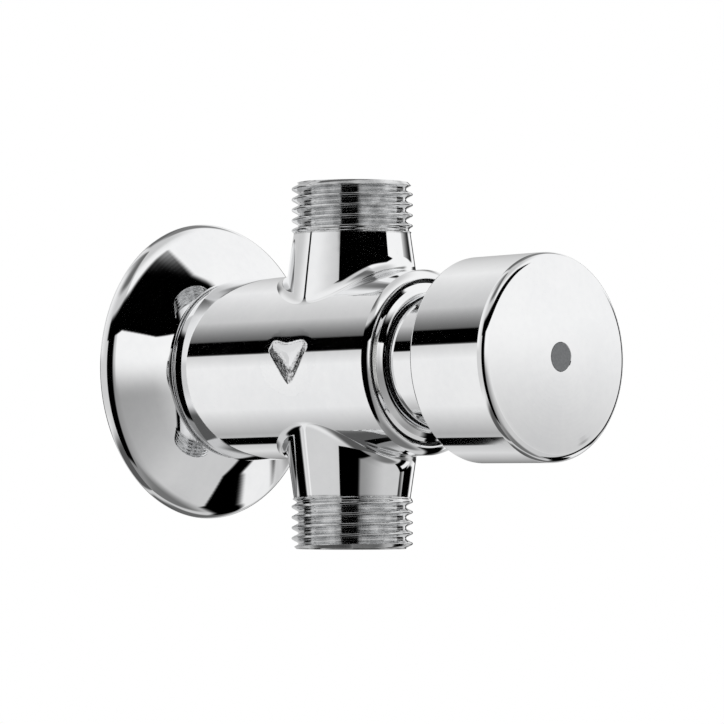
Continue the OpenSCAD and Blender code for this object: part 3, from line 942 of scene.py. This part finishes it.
@dataclass
class FlowArrow(Shared):
    """The raised arrow on the barrel's side, left rough along its flanks, where its finish also paints shade into the
    grain, with the hollow polished round it.

    Its drawing is flat: the first number goes out from the wall and the second
    upwards, from the barrel's middle height.
    """

    height: float = 0.55
    crown: Point = (0.06, 1.5)
    softness: float = 0.45
    # Where the grain and the painted shade in it show: the face near its edge and low down, and the lower flanks.
    grain_and_shade_face: Point = (0.75, 1.5)
    grain_and_shade_face_below: float = 1.6
    grain_and_shade_flank_below: Point = (2.9, 0.8)
    grain_and_shade_onset: float = 6.0
    base: tuple[Point, ...] = (
        (-4.7, 2.05), (-4.15, 3.2), (-3.6, 4.05), (-0.6, 3.25), (3.1, 4.0), (4.1, 3.15), (4.25, 1.9),
        (2.4, -1.15), (0.8, -3.25), (-0.15, -3.8), (-0.75, -3.3), (-2.5, -0.65),
    )
    top: tuple[Point, ...] = (
        (-3.45, 3.0), (-3.0, 3.65), (-0.15, 2.95), (3.6, 3.7), (4.2, 3.05), (3.8, 2.05), (2.95, 0.7), (2.1, -0.5),
        (1.3, -1.25), (0.3, -0.7), (-0.8, 0.8), (-2.75, 2.2),
    )
    corner_cuts: Point = (0.22, 0.78)
    flatness: float = 0.8
    hollow: float = 3.0
    hollow_slope: float = 0.042
    patch: Point = (6.9, 6.4)
    patch_up: float = 0.3
    patch_mean: float = 6.6
    patch_edge: float = 0.8
    patch_count: int = 96
    rim_margin: float = 0.1
    lift: float = 0.008
    dip: float = 0.022
    skirt: float = 0.1
    spacing: float = 0.15
    row_share: float = 0.87
    clear_share: float = 0.6
    grid: tuple[int, int] = (48, 52)
    thinned: tuple[int, int] = (3, 4)
    fine_margin: float = 0.5
    step: float = 0.12

    def dress(self, finishes: Materials) -> None:
        """Builds the arrow and dresses it."""
        put_on(self.build(), Body.VALVE, Slot.CHROME, finishes[Look.ARROW], "body")

    def __post_init__(self) -> None:
        """Rounds the two outlines."""
        self.foot_line, self.face_line = self._rounded(self.base), self._rounded(self.top)

    def _rounded(self, outline: tuple[Point, ...]) -> list[Point]:
        """Cuts an outline's corners twice."""
        once = [between(a, b, k) for a, b in pairs(list(outline)) for k in self.corner_cuts]
        return [between(a, b, k) for a, b in pairs(once) for k in self.corner_cuts]

    @staticmethod
    def _depth(edge: list[Point], p: Point) -> float:
        """Measures how deep inside an outline a point lies.

        Args:
            edge: The outline.
            p: The point.

        Returns:
            The distance from the outline, negative outside it.
        """
        best, inside = math.inf, False
        for (ax, ay), (bx, by) in pairs(edge):
            dx, dy = bx - ax, by - ay
            k = held(((p[0] - ax) * dx + (p[1] - ay) * dy) / (dx * dx + dy * dy))
            best = min(best, math.hypot(p[0] - ax - k * dx, p[1] - ay - k * dy))
            if (ay > p[1]) != (by > p[1]) and p[0] < ax + (p[1] - ay) / dy * dx:
                inside = not inside
        return best if inside else -best

    def _rise(self, p: Point) -> Point:
        """Gives the relief at a point of the drawing.

        Args:
            p: The point.

        Returns:
            The height, and how much of the casting's grain and of the painted shade in it shows.
        """
        foot, face = self._depth(self.foot_line, p), self._depth(self.face_line, p)
        if foot <= 0:
            return 0.0, 0.0
        if face >= 0:
            (more, over), (share, loss) = self.crown, self.grain_and_shade_face
            rough = max(0.0, share - loss * face) * (p[1] < self.grain_and_shade_face_below)
            return self.height * (1 + more * min(1.0, face / over)), rough
        u, (end, over) = foot / (foot - face), self.grain_and_shade_flank_below
        rough = held((end - p[1]) / over) * min(1.0, self.grain_and_shade_onset * u)
        return self.height * ((1 - self.softness) * u + self.softness * eased(u)), rough

    def _slopes(self, p: Point) -> Point:
        """Gives how the surface tilts at a point, with the hollow polished round the arrow.

        Args:
            p: The point.

        Returns:
            The slopes outwards and upwards.
        """
        around = [(p[0] + i * self.step, p[1] + k * self.step) for i, k in ((1, 0), (-1, 0), (0, 1), (0, -1))]
        right, left, above, below = (self._rise(q)[0] for q in around)
        ds, dt = (right - left) / (2 * self.step), (above - below) / (2 * self.step)
        foot = self._depth(self.foot_line, p)
        if foot < 0:
            away = (self._depth(self.foot_line, around[2]) - self._depth(self.foot_line, around[3])) / (2 * self.step)
            dt -= self.hollow_slope * eased(1 + foot / self.hollow) * min(0.0, away)
        return ds, dt

    def _lay(self, p: Point, height: float) -> Vector:
        """Lays a point of the drawing on the barrel's left side."""
        return round_barrel((self.barrel_r + height, self.wall_gap + p[0]), math.pi - p[1] / self.barrel_r)

    def _normal(self, t: float, slopes: Point = (0.0, 0.0)) -> Vector:
        """Gives the normal at a height of the drawing where the surface has two slopes."""
        c, s = math.cos(t / self.barrel_r), math.sin(t / self.barrel_r)
        return Vector((-c - slopes[1] * s, slopes[0], s - slopes[1] * c)).normalized()

    def _loops(self) -> list[list[Point]]:
        """Gives the loops of the patch's rim, the arrow's foot and its face.

        Returns:
            The loops, with points about as far apart as the spacing.
        """
        angles = [TURN * k / self.patch_count for k in range(self.patch_count)]
        loops = [[(self.patch[0] * math.cos(a), self.patch_up + self.patch[1] * math.sin(a)) for a in angles]]
        for outline in (self.foot_line, self.face_line):
            loops.append([])
            for a, b in pairs(outline):
                pieces = max(1, round(math.dist(a, b) / self.spacing))
                loops[-1] += [between(a, b, k / pieces) for k in range(pieces)]
        return loops

    def _inward(self, p: Point, margin: float = 0.0) -> float:
        """Gives how far inside the patch a point lies, as a share of its size."""
        return 1 - math.hypot(p[0] / (self.patch[0] - margin), (p[1] - self.patch_up) / (self.patch[1] - margin))

    def _loose(self) -> list[Point]:
        """Spreads points over the patch, closer together on the arrow and round it.

        Returns:
            The points.
        """
        points, near, (wide, high) = [], self.clear_share * self.spacing, self.grid
        for i in range(-wide, wide + 1):
            for k in range(-high, high + 1):
                p = ((i + 0.5 * (k % 2)) * self.spacing, k * self.spacing * self.row_share)
                if self._inward(p, self.rim_margin) > 0:
                    foot, face = self._depth(self.foot_line, p), self._depth(self.face_line, p)
                    spare = foot < -self.fine_margin and (i % self.thinned[0] or k % self.thinned[1])
                    if abs(foot) > near and abs(face) > near and not spare:
                        points.append(p)
        return points

    def build(self) -> Object:
        """Builds the arrow on its patch of the barrel, with its rough flanks marked by an attribute that gives both the
        grain and the painted shade in it.

        Returns:
            The arrow.
        """
        loops, points, edges = self._loops(), [], []
        for loop in loops:
            edges += [(len(points) + k, len(points) + (k + 1) % len(loop)) for k in range(len(loop))]
            points += loop
        flat, _, faces, *_ = delaunay_2d_cdt([Vector(p) for p in points + self._loose()], edges, [], 0, 1e-6)
        skin, corners, grain_and_shade = Skin("flow_arrow"), [], {}
        for p in flat:
            height, rough = self._rise(p)
            dip = self.dip * max(0.0, 1 - self.patch_mean * self._inward(p) / self.patch_edge)
            flat_t = p[1] * (1 - self.flatness * min(1.0, height / self.height))
            corners.append((self._lay(p, self.lift + height - dip), self._normal(flat_t, self._slopes(p))))
            grain_and_shade[skin.vertex(corners[-1][0])] = rough
        for face in faces:
            skin.face([corners[k] for k in face])
        skin.grid([
            [(self._lay(p, height), self._normal(p[1])) for p in loops[0]]
            for height in (self.lift - self.dip, -self.skirt)])
        arrow = skin.finish()
        # This attribute carries both the grain and the painted shade of the rough parts.
        layer = arrow.data.attributes.new("grain_and_shade", "FLOAT", "POINT")
        layer.data.foreach_set("value", [grain_and_shade.get(k, 0.0) for k in range(len(skin.points))])
        return arrow


@dataclass
class Rosette(Shared):
    """The domed sheet cover on the wall, whose bends are given by two slopes, a radius and a number of steps."""

    outer_r: float = 25.9
    wall: float = 1.0
    edge: float = 0.3
    hem: tuple[Point, ...] = ((0.15, 0.0), (0.04, 0.05), (0.0, 0.16))
    hole_r: float = 9.65
    seat_r: float = 15.15
    lip: float = 1.2
    hollow: Point = (0.25, 0.1)
    bends: tuple[tuple[float, float, float, int], ...] = (
        (90, 76, 0.3, 3), (76, 38, 3.1, 24), (38, 31, 8.0, 8), (31, 28.5, 142.0, 10), (28.5, 20.4, 24.0, 14),
        (20.4, -78, 0.34, 12),
    )

    def dress(self, finishes: Materials) -> None:
        """Builds the cover and dresses it."""
        put_on(self.build(), Body.VALVE, Slot.CHROME, finishes[Look.CHROME], "wall_plate")

    def _outside(self) -> list[Point]:
        """Follows the sheet's outside from its rim into the recess that the barrel's end lies in.

        Returns:
            The points.
        """
        here = (self.outer_r, self.edge)
        points = [(self.outer_r - r, d) for r, d in self.hem] + [here]
        for start, end, radius, steps in self.bends:
            a = math.radians(start)
            middle = (here[0] - radius * math.sin(a), here[1] - radius * math.cos(a))
            points += arc(middle, radius, 90 - start, 90 - end, steps)[1:]
            here = points[-1]
        return points

    def build(self) -> Object:
        """Builds the cover as one turned shell.

        Returns:
            The cover.
        """
        outside, ceiling = self._outside(), self.back - self.wall
        dome = [p for p in outside if p[0] > self.seat_r + self.lip]
        inside = []
        for before, p, after in zip(dome, dome[1:], dome[2:]):
            along = (after[0] - before[0], after[1] - before[1])
            length = math.hypot(*along)
            inside.append((p[0] - along[1] / length * self.wall, p[1] + along[0] / length * self.wall))
        inside = [p for p in inside[::-1] if self.hollow[0] < p[1] < ceiling - self.hollow[1]]
        outline = outside + [(self.seat_r, self.back), (self.hole_r, self.back), (self.hole_r, ceiling)]
        outline += [(inside[0][0] - 0.4, ceiling)] + inside + [(self.outer_r - self.wall, 0.0)]
        return turned("rosette", outline, steps=256, sharp=34)


@dataclass
class Collar(Shared):
    """The guide sleeve with its clamping ring, and the black seal round it."""

    foot: float = 47.7
    ring_r: float = 13.6
    ring_from: float = 12.1
    bevel: float = 0.6
    proud: float = 0.7
    nose: Triple = (0.12, 0.06, 0.1)
    sleeve_r: float = 12.0
    bore_r: float = 9.7
    thread_r: float = 12.55
    end: float = 72.0
    end_chamfer: float = 0.5
    seal_r: float = 13.95
    seal_t: float = 0.62
    seal_gap: float = 0.02

    def dress(self, finishes: Materials) -> None:
        """Builds sleeve and seal and dresses them, the sleeve's ring with turning lines.

        Args:
            finishes: The materials by look.
        """
        sleeve, seal = self.build()
        for look in (Look.CHROME, Look.TURNED):
            sleeve.data.materials.append(finishes[look])
        for face in sleeve.data.polygons:
            face.material_index = int(math.hypot(face.center.x, face.center.z) > self.ring_from * MM)
        put_on(sleeve, Body.VALVE, Slot.CHROME, finishes[Look.CHROME], "guide_sleeve")
        put_on(seal, Body.VALVE, Slot.RUBBER, finishes[Look.RUBBER], "mouth_seal")

    def build(self) -> list[Object]:
        """Builds the two pieces.

        Returns:
            The sleeve and the seal.
        """
        out, back, on = self.nose
        outline = [
            (self.bore_r, self.foot), (self.thread_r, self.foot), (self.thread_r, self.mouth_floor),
            (self.ring_r, self.mouth_floor), (self.ring_r, self.front - self.bevel / 2),
            (self.ring_r - self.bevel, self.front), (self.sleeve_r + out, self.front + self.proud - back),
            (self.sleeve_r, self.front + self.proud + on), (self.sleeve_r, self.end - self.end_chamfer),
            (self.sleeve_r - self.end_chamfer, self.end), (self.bore_r, self.end),
        ]
        sleeve = turned("guide_sleeve_turned", outline, steps=192, sharp=20)
        middle = (self.seal_r, self.mouth_floor + self.seal_t / 2 + self.seal_gap)
        seal = turned("mouth_seal_ring", arc(middle, self.seal_t / 2, 0, 345, 15), steps=128, sharp=80)
        return [sleeve, seal]


@dataclass
class Button:
    """The push button's shell, its liner and the small disc in its face."""

    rear: float = 66.5
    rear_soft: float = 0.3
    rim: float = 83.8
    crown: float = 1.25
    rear_r: float = 17.5
    front_r: float = 17.75
    rounding: float = 1.5
    face_rings: int = 20
    middle_rings: Point = (3.2, 2.8)
    wall: float = 1.5
    front_wall: float = 2.2
    disc_r: float = 2.425
    disc_t: float = 0.85
    disc_gap: float = 0.03
    disc_rim: float = 0.12
    disc_edge: float = 0.08
    screw_r: float = 1.6
    screw_seat: float = 2.25
    stem_r: float = 3.05
    liner_rear: float = 67.3
    liner_gap: float = 0.05
    liner_edge: float = 0.4
    liner_wall: float = 1.5
    sleeve_r: float = 12.06
    relief_r: float = 12.5
    land: float = 4.0
    hub_r: float = 5.4
    hub_length: float = 4.6

    def dress(self, finishes: Materials) -> None:
        """Builds shell, liner and disc and dresses them.

        Args:
            finishes: The materials by look.
        """
        put_on(self._shell(), Body.PLUNGER, Slot.CHROME, finishes[Look.CHROME], "button_shell")
        put_on(self._liner(), Body.PLUNGER, Slot.WHITE, finishes[Look.WHITE], "button_liner")
        put_on(self._disc(), Body.PLUNGER, Slot.GREY, finishes[Look.GREY], "button_disc")

    def _shell(self) -> Object:
        """Turns the shell with its crowned face and the disc's seat.

        Returns:
            The shell.
        """
        face_r = self.front_r - self.rounding
        crown_r = (face_r ** 2 + self.crown ** 2) / (2 * self.crown)
        face_angle = math.degrees(math.asin(face_r / crown_r))
        soft, front = self.rear_soft, self.rim + self.crown
        outline = arc((self.rear_r - soft, self.rear + soft), soft, -90, 0, 6)
        outline += arc((face_r, self.rim - self.rounding), self.rounding, 0, 90 - face_angle * 0.2, 22)
        radii = [face_r - 0.35] + [face_r * k / self.face_rings for k in range(self.face_rings - 1, 3, -1)]
        radii += [*self.middle_rings, self.disc_r + self.disc_rim]
        outline += [(r, front - crown_r + math.sqrt(crown_r ** 2 - r ** 2)) for r in radii]
        hole, seat = self.disc_r + self.disc_gap, front - self.screw_seat
        inner_r, floor = self.rear_r - self.wall, self.rim - self.front_wall
        outline += [(hole, front - 0.1), (hole, seat), (self.screw_r, seat), (self.screw_r, floor)]
        outline += [(inner_r, floor), (inner_r, self.rear)]
        return turned("button_shell_polished", outline, steps=256, sharp=30)

    def _liner(self) -> Object:
        """Turns the liner with its hub and the land that slides on the sleeve.

        Returns:
            The liner.
        """
        front, rear, edge = self.rim - self.front_wall, self.liner_rear, self.liner_edge
        stop, outer = front - self.liner_wall, self.rear_r - self.wall - self.liner_gap
        hub, land = stop - self.hub_length, rear + self.land
        outline = [
            (outer - edge, rear), (outer, rear + edge), (outer, front), (self.screw_r, front), (self.screw_r, stop),
            (self.stem_r, stop), (self.stem_r, hub), (self.hub_r, hub), (self.hub_r, stop), (self.relief_r, stop),
            (self.relief_r, land), (self.sleeve_r, land), (self.sleeve_r, rear + edge), (self.sleeve_r + edge, rear),
        ]
        return turned("button_liner_moulded", outline, steps=128, sharp=30)

    def _disc(self) -> Object:
        """Turns the disc.

        Returns:
            The disc.
        """
        top, edge = self.rim + self.crown, self.disc_edge
        low = top - self.disc_t
        outline = [(0.0, low), (self.disc_r, low), (self.disc_r, top - edge), (self.disc_r - edge, top), (0.0, top)]
        return turned("button_disc_inlay", outline, steps=96, sharp=30, closed=False)


# ---- Studio ----


@dataclass(frozen=True)
class Card:
    """A panel of the studio that polished metal shows, as a patch of directions.

    Azimuth is measured from the way to the camera, to the right in the picture,
    and elevation from the horizon, both in degrees. A strip bent round the
    barrel's axis is given by the angle from that axis instead of the azimuth,
    and by the angle round it, from the left upwards, instead of the elevation.
    An edge or a level is a number, or points along the card.
    """

    name: str
    level: float | tuple[Point, ...]
    left: float
    right: float
    low: float | tuple[Point, ...]
    high: float | tuple[Point, ...]
    soft: tuple[float, float, float, float] = (2.0, 2.0, 2.0, 2.0)
    bent: bool = False

    @staticmethod
    def _along(graph: Graph, angle: Socket, points: float | tuple[Point, ...], reach: float) -> Socket | float:
        """Gives a value that changes along the card.

        Args:
            graph: The studio's graph.
            angle: The angle along the card, in degrees.
            points: The value, or points of angle and value.
            reach: Largest size that the value can have.

        Returns:
            The value at the angle.
        """
        if not isinstance(points, tuple):
            return points
        node = graph.add("ShaderNodeFloatCurve", {"Value": graph.math("MULTIPLY_ADD", angle, 1 / 360, 0.5)})
        curve = node.mapping.curves[0]
        for k, at in ((0, 0.0), (-1, 1.0)):
            curve.points[k].location = (at, points[k][1] / (2 * reach) + 0.5)
        for at, value in points:
            curve.points.new(at / 360 + 0.5, value / (2 * reach) + 0.5)
        for point in curve.points:
            point.handle_type = "VECTOR"
        node.mapping.update()
        return graph.math("MULTIPLY_ADD", node.outputs[0], 2 * reach, -reach)

    def over(self, graph: Graph, across: Socket, along: Socket, below: Socket | float) -> Socket:
        """Lays the card over what is behind it.

        Args:
            graph: The studio's graph.
            across: The direction's azimuth, or its angle from the barrel's axis.
            along: The direction's elevation, or its angle round the barrel's axis.
            below: The brightness behind the card.

        Returns:
            The brightness with the card.
        """
        left, right, low, high = (max(s, 0.2) / 2 for s in self.soft)
        over_low = graph.math("SUBTRACT", along, self._along(graph, across, self.low, 90.0))
        over_high = graph.math("SUBTRACT", along, self._along(graph, across, self.high, 90.0))
        mask = graph.rise(across, self.left - left, self.left + left)
        for edge in (
            graph.rise(across, self.right - right, self.right + right, 1.0, 0.0),
            graph.rise(over_low, -low, low), graph.rise(over_high, -high, high, 1.0, 0.0),
        ):
            mask = graph.math("MULTIPLY", mask, edge)
        return graph.blend(mask, below, self._along(graph, along, self.level, 1.0))


OVERHEAD_LOW = (
    (-40, 20), (0, 19.2), (15, 18.6), (30, 18.2), (50, 17), (64, 15.5), (72, 16), (78, 24), (84, 28))
OVERHEAD_HIGH = ((-32, 34), (30, 38), (40, 42), (50, 45), (60, 47), (72, 47), (84, 34))
BACK_SHADE_HIGH = ((98, -8), (120, -9), (132, -16), (150, -26))
STRIP_LEVEL = (
    (-180, 0.45), (-130, 0.87), (-92, 0.69), (-55, 0.93), (0, 0.95), (16, 0.83), (17.2, 0.0), (32.5, 0.0),
    (34, 0.38), (60, 0.79), (110, 0.94), (180, 0.7))
CARDS = (
    Card("ceiling", 0.8, -400, 400, 60, 120, (1, 1, 30, 1)),
    Card("ceiling_left", 0.42, -120, 8, 54, 120, (30, 20, 10, 1)),
    Card("back_high_left", 0.42, -400, -148, 30, 72, (1, 14, 16, 16)),
    Card("back_high_right", 0.5, 150, 400, 30, 72, (14, 1, 16, 16)),
    Card("back_low_left", 0.35, -400, -150, -72, -30, (1, 14, 16, 16)),
    Card("back_low_right", 0.4, 150, 400, -72, -30, (14, 1, 16, 16)),
    Card("low_left", 0.35, -130, -18, -120, -46, (20, 20, 1, 16)),
    Card("low_right", 0.45, 14, 120, -120, -50, (20, 20, 1, 16)),
    Card("left_window", 0.955, -104, -48, -43, 72, (26, 56, 24, 30)),
    Card("left_low_window", 0.83, -98, -30, -30, 8, (16, 30, 20, 10)),
    Card("left_back_window", 0.93, -146, -104, 33, 75, (14, 20, 16, 30)),
    Card("front_shade", 0.55, -24, 38, -90, 0, (2, 60, 1, 20)),
    Card("right_window", 0.98, 20, 150, -2, 62, (4, 16, 20, 24)),
    Card("back_window", 0.98, 126, 176, -10, 32, (10, 8, 14, 12)),
    Card("right_back_shade", 0.01, 101, 150, -45, BACK_SHADE_HIGH, (3, 10, 6, 3)),
    Card("right_back_window", 0.95, 112, 150, -31, -18, (4, 6, 4, 4)),
    Card("left_back_shade", 0.02, -127, -101, -28, 6, (8, 6, 8, 12)),
    Card("front_strip", 0.0, -24, 13, -60, 24, (1.5, 8, 8, 2)),
    Card("overhead_shade", 0.0, -32, 84, OVERHEAD_LOW, OVERHEAD_HIGH, (12, 6, 1.2, 9)),
    Card("rim_shade", 0.0, 113, 142, -12, 11, (2, 10, 6, 6)),
    Card("edge_shade", 0.2, 160, 174, -14, 14, (3, 5, 8, 8)),
    Card("barrel_strip", STRIP_LEVEL, 43.7, 47.8, -181, 181, (0.6, 0.8, 1, 1), True),
    Card("button_strip", 0.0, 44.2, 45.75, -113, -99.5, (0.3, 0.2, 4, 1.5), True),
)


@dataclass
class Studio:
    """The white studio with its black panels, the floor and the camera, in metres."""

    base: float = 0.8
    display: float = 2.2
    soft_light: Point = (0.75, 1.1)
    floor_z: float = -0.3
    floor_r: float = 2.5
    floor_fade: Point = (0.15, 0.6)
    camera_at: Triple = (-0.8576, -0.8738, -0.0511)
    camera_way: Triple = (0.71564, 0.69715, 0.04310)
    lens: float = 345.4
    sensor: float = 36.0
    far_clip: float = 50.0
    cards: tuple[Card, ...] = CARDS

    def _reflected(self) -> Tree:
        """Builds the brightness that polished metal shows, by direction.

        Returns:
            The group.
        """
        graph, values, out = new_group("studio_cards", {"Direction": (0.0, 0.0, 1.0)}, ("Strength",))
        flat = Vector((self.camera_way[0], self.camera_way[1], 0)).normalized()

        def along(axis: Triple) -> Socket:
            """Gives the direction's share along an axis."""
            inputs = {0: values["Direction"], 1: axis}
            return graph.add("ShaderNodeVectorMath", inputs, operation="DOT_PRODUCT").outputs["Value"]

        def degrees(operation: str, *shares: Socket) -> Socket:
            """Gives an angle in degrees."""
            return graph.math("DEGREES", graph.math(operation, *shares))

        back, right, up = along((-flat.x, -flat.y, 0)), along((flat.y, -flat.x, 0)), along((0, 0, 1))
        plain = (degrees("ARCTAN2", right, back), degrees("ARCSINE", up))
        bent = (degrees("ARCCOSINE", along((0, 1, 0))), degrees("ARCTAN2", up, along((-1, 0, 0))))
        level: Socket | float = self.base
        for card in self.cards:
            level = card.over(graph, *(bent if card.bent else plain), level)
        graph.feed(out, {"Strength": graph.math("POWER", level, self.display)})
        return graph.tree

    def build_world(self) -> None:
        """Lights the object softly from all round, a little more from above."""
        world = bpy.data.worlds.new("studio")
        bpy.context.scene.world = world
        world.use_nodes = True
        graph = Graph(world.node_tree)
        way = graph.add("ShaderNodeTexCoord").outputs["Generated"]
        cards = graph.group(self._reflected(), Direction=way).outputs["Strength"]
        up = graph.add("ShaderNodeSeparateXYZ", {"Vector": way}).outputs["Z"]
        path = graph.add("ShaderNodeLightPath").outputs
        level = graph.blend(path["Is Glossy Ray"], graph.rise(up, -1.0, 1.0, *self.soft_light), cards)
        seen = graph.math("MAXIMUM", path["Is Camera Ray"], path["Is Transmission Ray"])
        graph.feed(world.node_tree.nodes["Background"], {
            "Strength": graph.blend(seen, level, 1.0), "Color": (1, 1, 1, 1)})

    def build_floor(self) -> None:
        """Lays a plain pale floor well below the valve, which fades into the white background."""
        deselect()
        bpy.ops.mesh.primitive_circle_add(
            vertices=96, radius=self.floor_r, fill_type="NGON", location=(0, 0, self.floor_z))
        floor = bpy.context.object
        floor.name = floor.data.name = "floor"
        bpy.ops.object.transform_apply(location=True, rotation=True, scale=True)
        material, graph, surface = new_material("pale_floor")
        place = graph.place()
        pale = graph.colours(graph.noise(place, 6.0, 2.0), (0.90, 0.90, 0.90), (0.93, 0.93, 0.93))
        graph.feed(surface, {"Roughness": 0.7, "Base Color": pale})
        flat = graph.add("ShaderNodeVectorMath", {0: place, 1: (1, 1, 0)}, operation="MULTIPLY").outputs[0]
        radius = graph.add("ShaderNodeVectorMath", {0: flat}, operation="LENGTH").outputs["Value"]
        white = graph.add("ShaderNodeEmission", {"Color": (1, 1, 1, 1), "Strength": 1.0})
        clear = graph.add("ShaderNodeBsdfTransparent")
        path = graph.add("ShaderNodeLightPath").outputs
        far = graph.math("MULTIPLY", graph.rise(radius, *self.floor_fade), path["Is Camera Ray"])
        fade = graph.add("ShaderNodeMixShader", {0: far, 1: surface.outputs[0], 2: white.outputs[0]})
        mirrored = graph.math("MAXIMUM", path["Is Glossy Ray"], path["Is Transmission Ray"])
        mix = graph.add("ShaderNodeMixShader", {0: mirrored, 1: fade.outputs[0], 2: clear.outputs[0]})
        graph.feed(material.node_tree.nodes["Material Output"], {"Surface": mix.outputs[0]})
        floor.data.materials.append(material)

    def build_camera(self) -> None:
        """Puts the camera where the photograph was taken from."""
        data = bpy.data.cameras.new("camera")
        data.lens, data.sensor_width, data.clip_end = self.lens, self.sensor, self.far_clip
        camera = bpy.data.objects.new("camera", data)
        bpy.context.scene.collection.objects.link(camera)
        forward = Vector(self.camera_way).normalized()
        right = Vector((forward.y, -forward.x, 0)).normalized()
        turn = Matrix((right, right.cross(forward), -forward)).transposed().to_4x4()
        camera.matrix_world = Matrix.Translation(self.camera_at) @ turn
        bpy.context.scene.camera = camera

    def build(self) -> None:
        """Builds world, floor and camera."""
        self.build_world()
        self.build_floor()
        self.build_camera()
        bpy.context.scene.view_settings.view_transform = "Standard"


# ---- The whole ----


def dress_inside(finishes: Materials) -> None:
    """Gives the CAD nodes that stay, which lie inside the valve, their finishes.

    Args:
        finishes: The materials by look.
    """
    for part in frame["record"]["subparts"]:
        node = frame["nodes"][part["node"]]
        finish = finishes[Look[Slot(part["material_slot"]).name]]
        if node.data.materials:
            for slot in node.material_slots:
                slot.material = finish
        else:
            node.data.materials.append(finish)
        LOG.info("%s keeps its solid, in %s", part["node"], finish.name)


def main() -> None:
    """Builds the valve, its finishes and the studio."""
    logging.basicConfig(level=logging.INFO, format="%(name)s: %(message)s")
    effects = Effects()
    finishes = {look: look.value.material(effects) for look in Look}
    dress_inside(finishes)
    outlet = PipeThread(name="outlet_thread", side=-1, crest=26.22, crest_angle=-134.25)
    for part in (Casting(), PipeThread(), outlet, FlowArrow(), Rosette(), Collar(), Button()):
        part.dress(finishes)
    Studio().build()


if __name__ == "__main__":
    main()
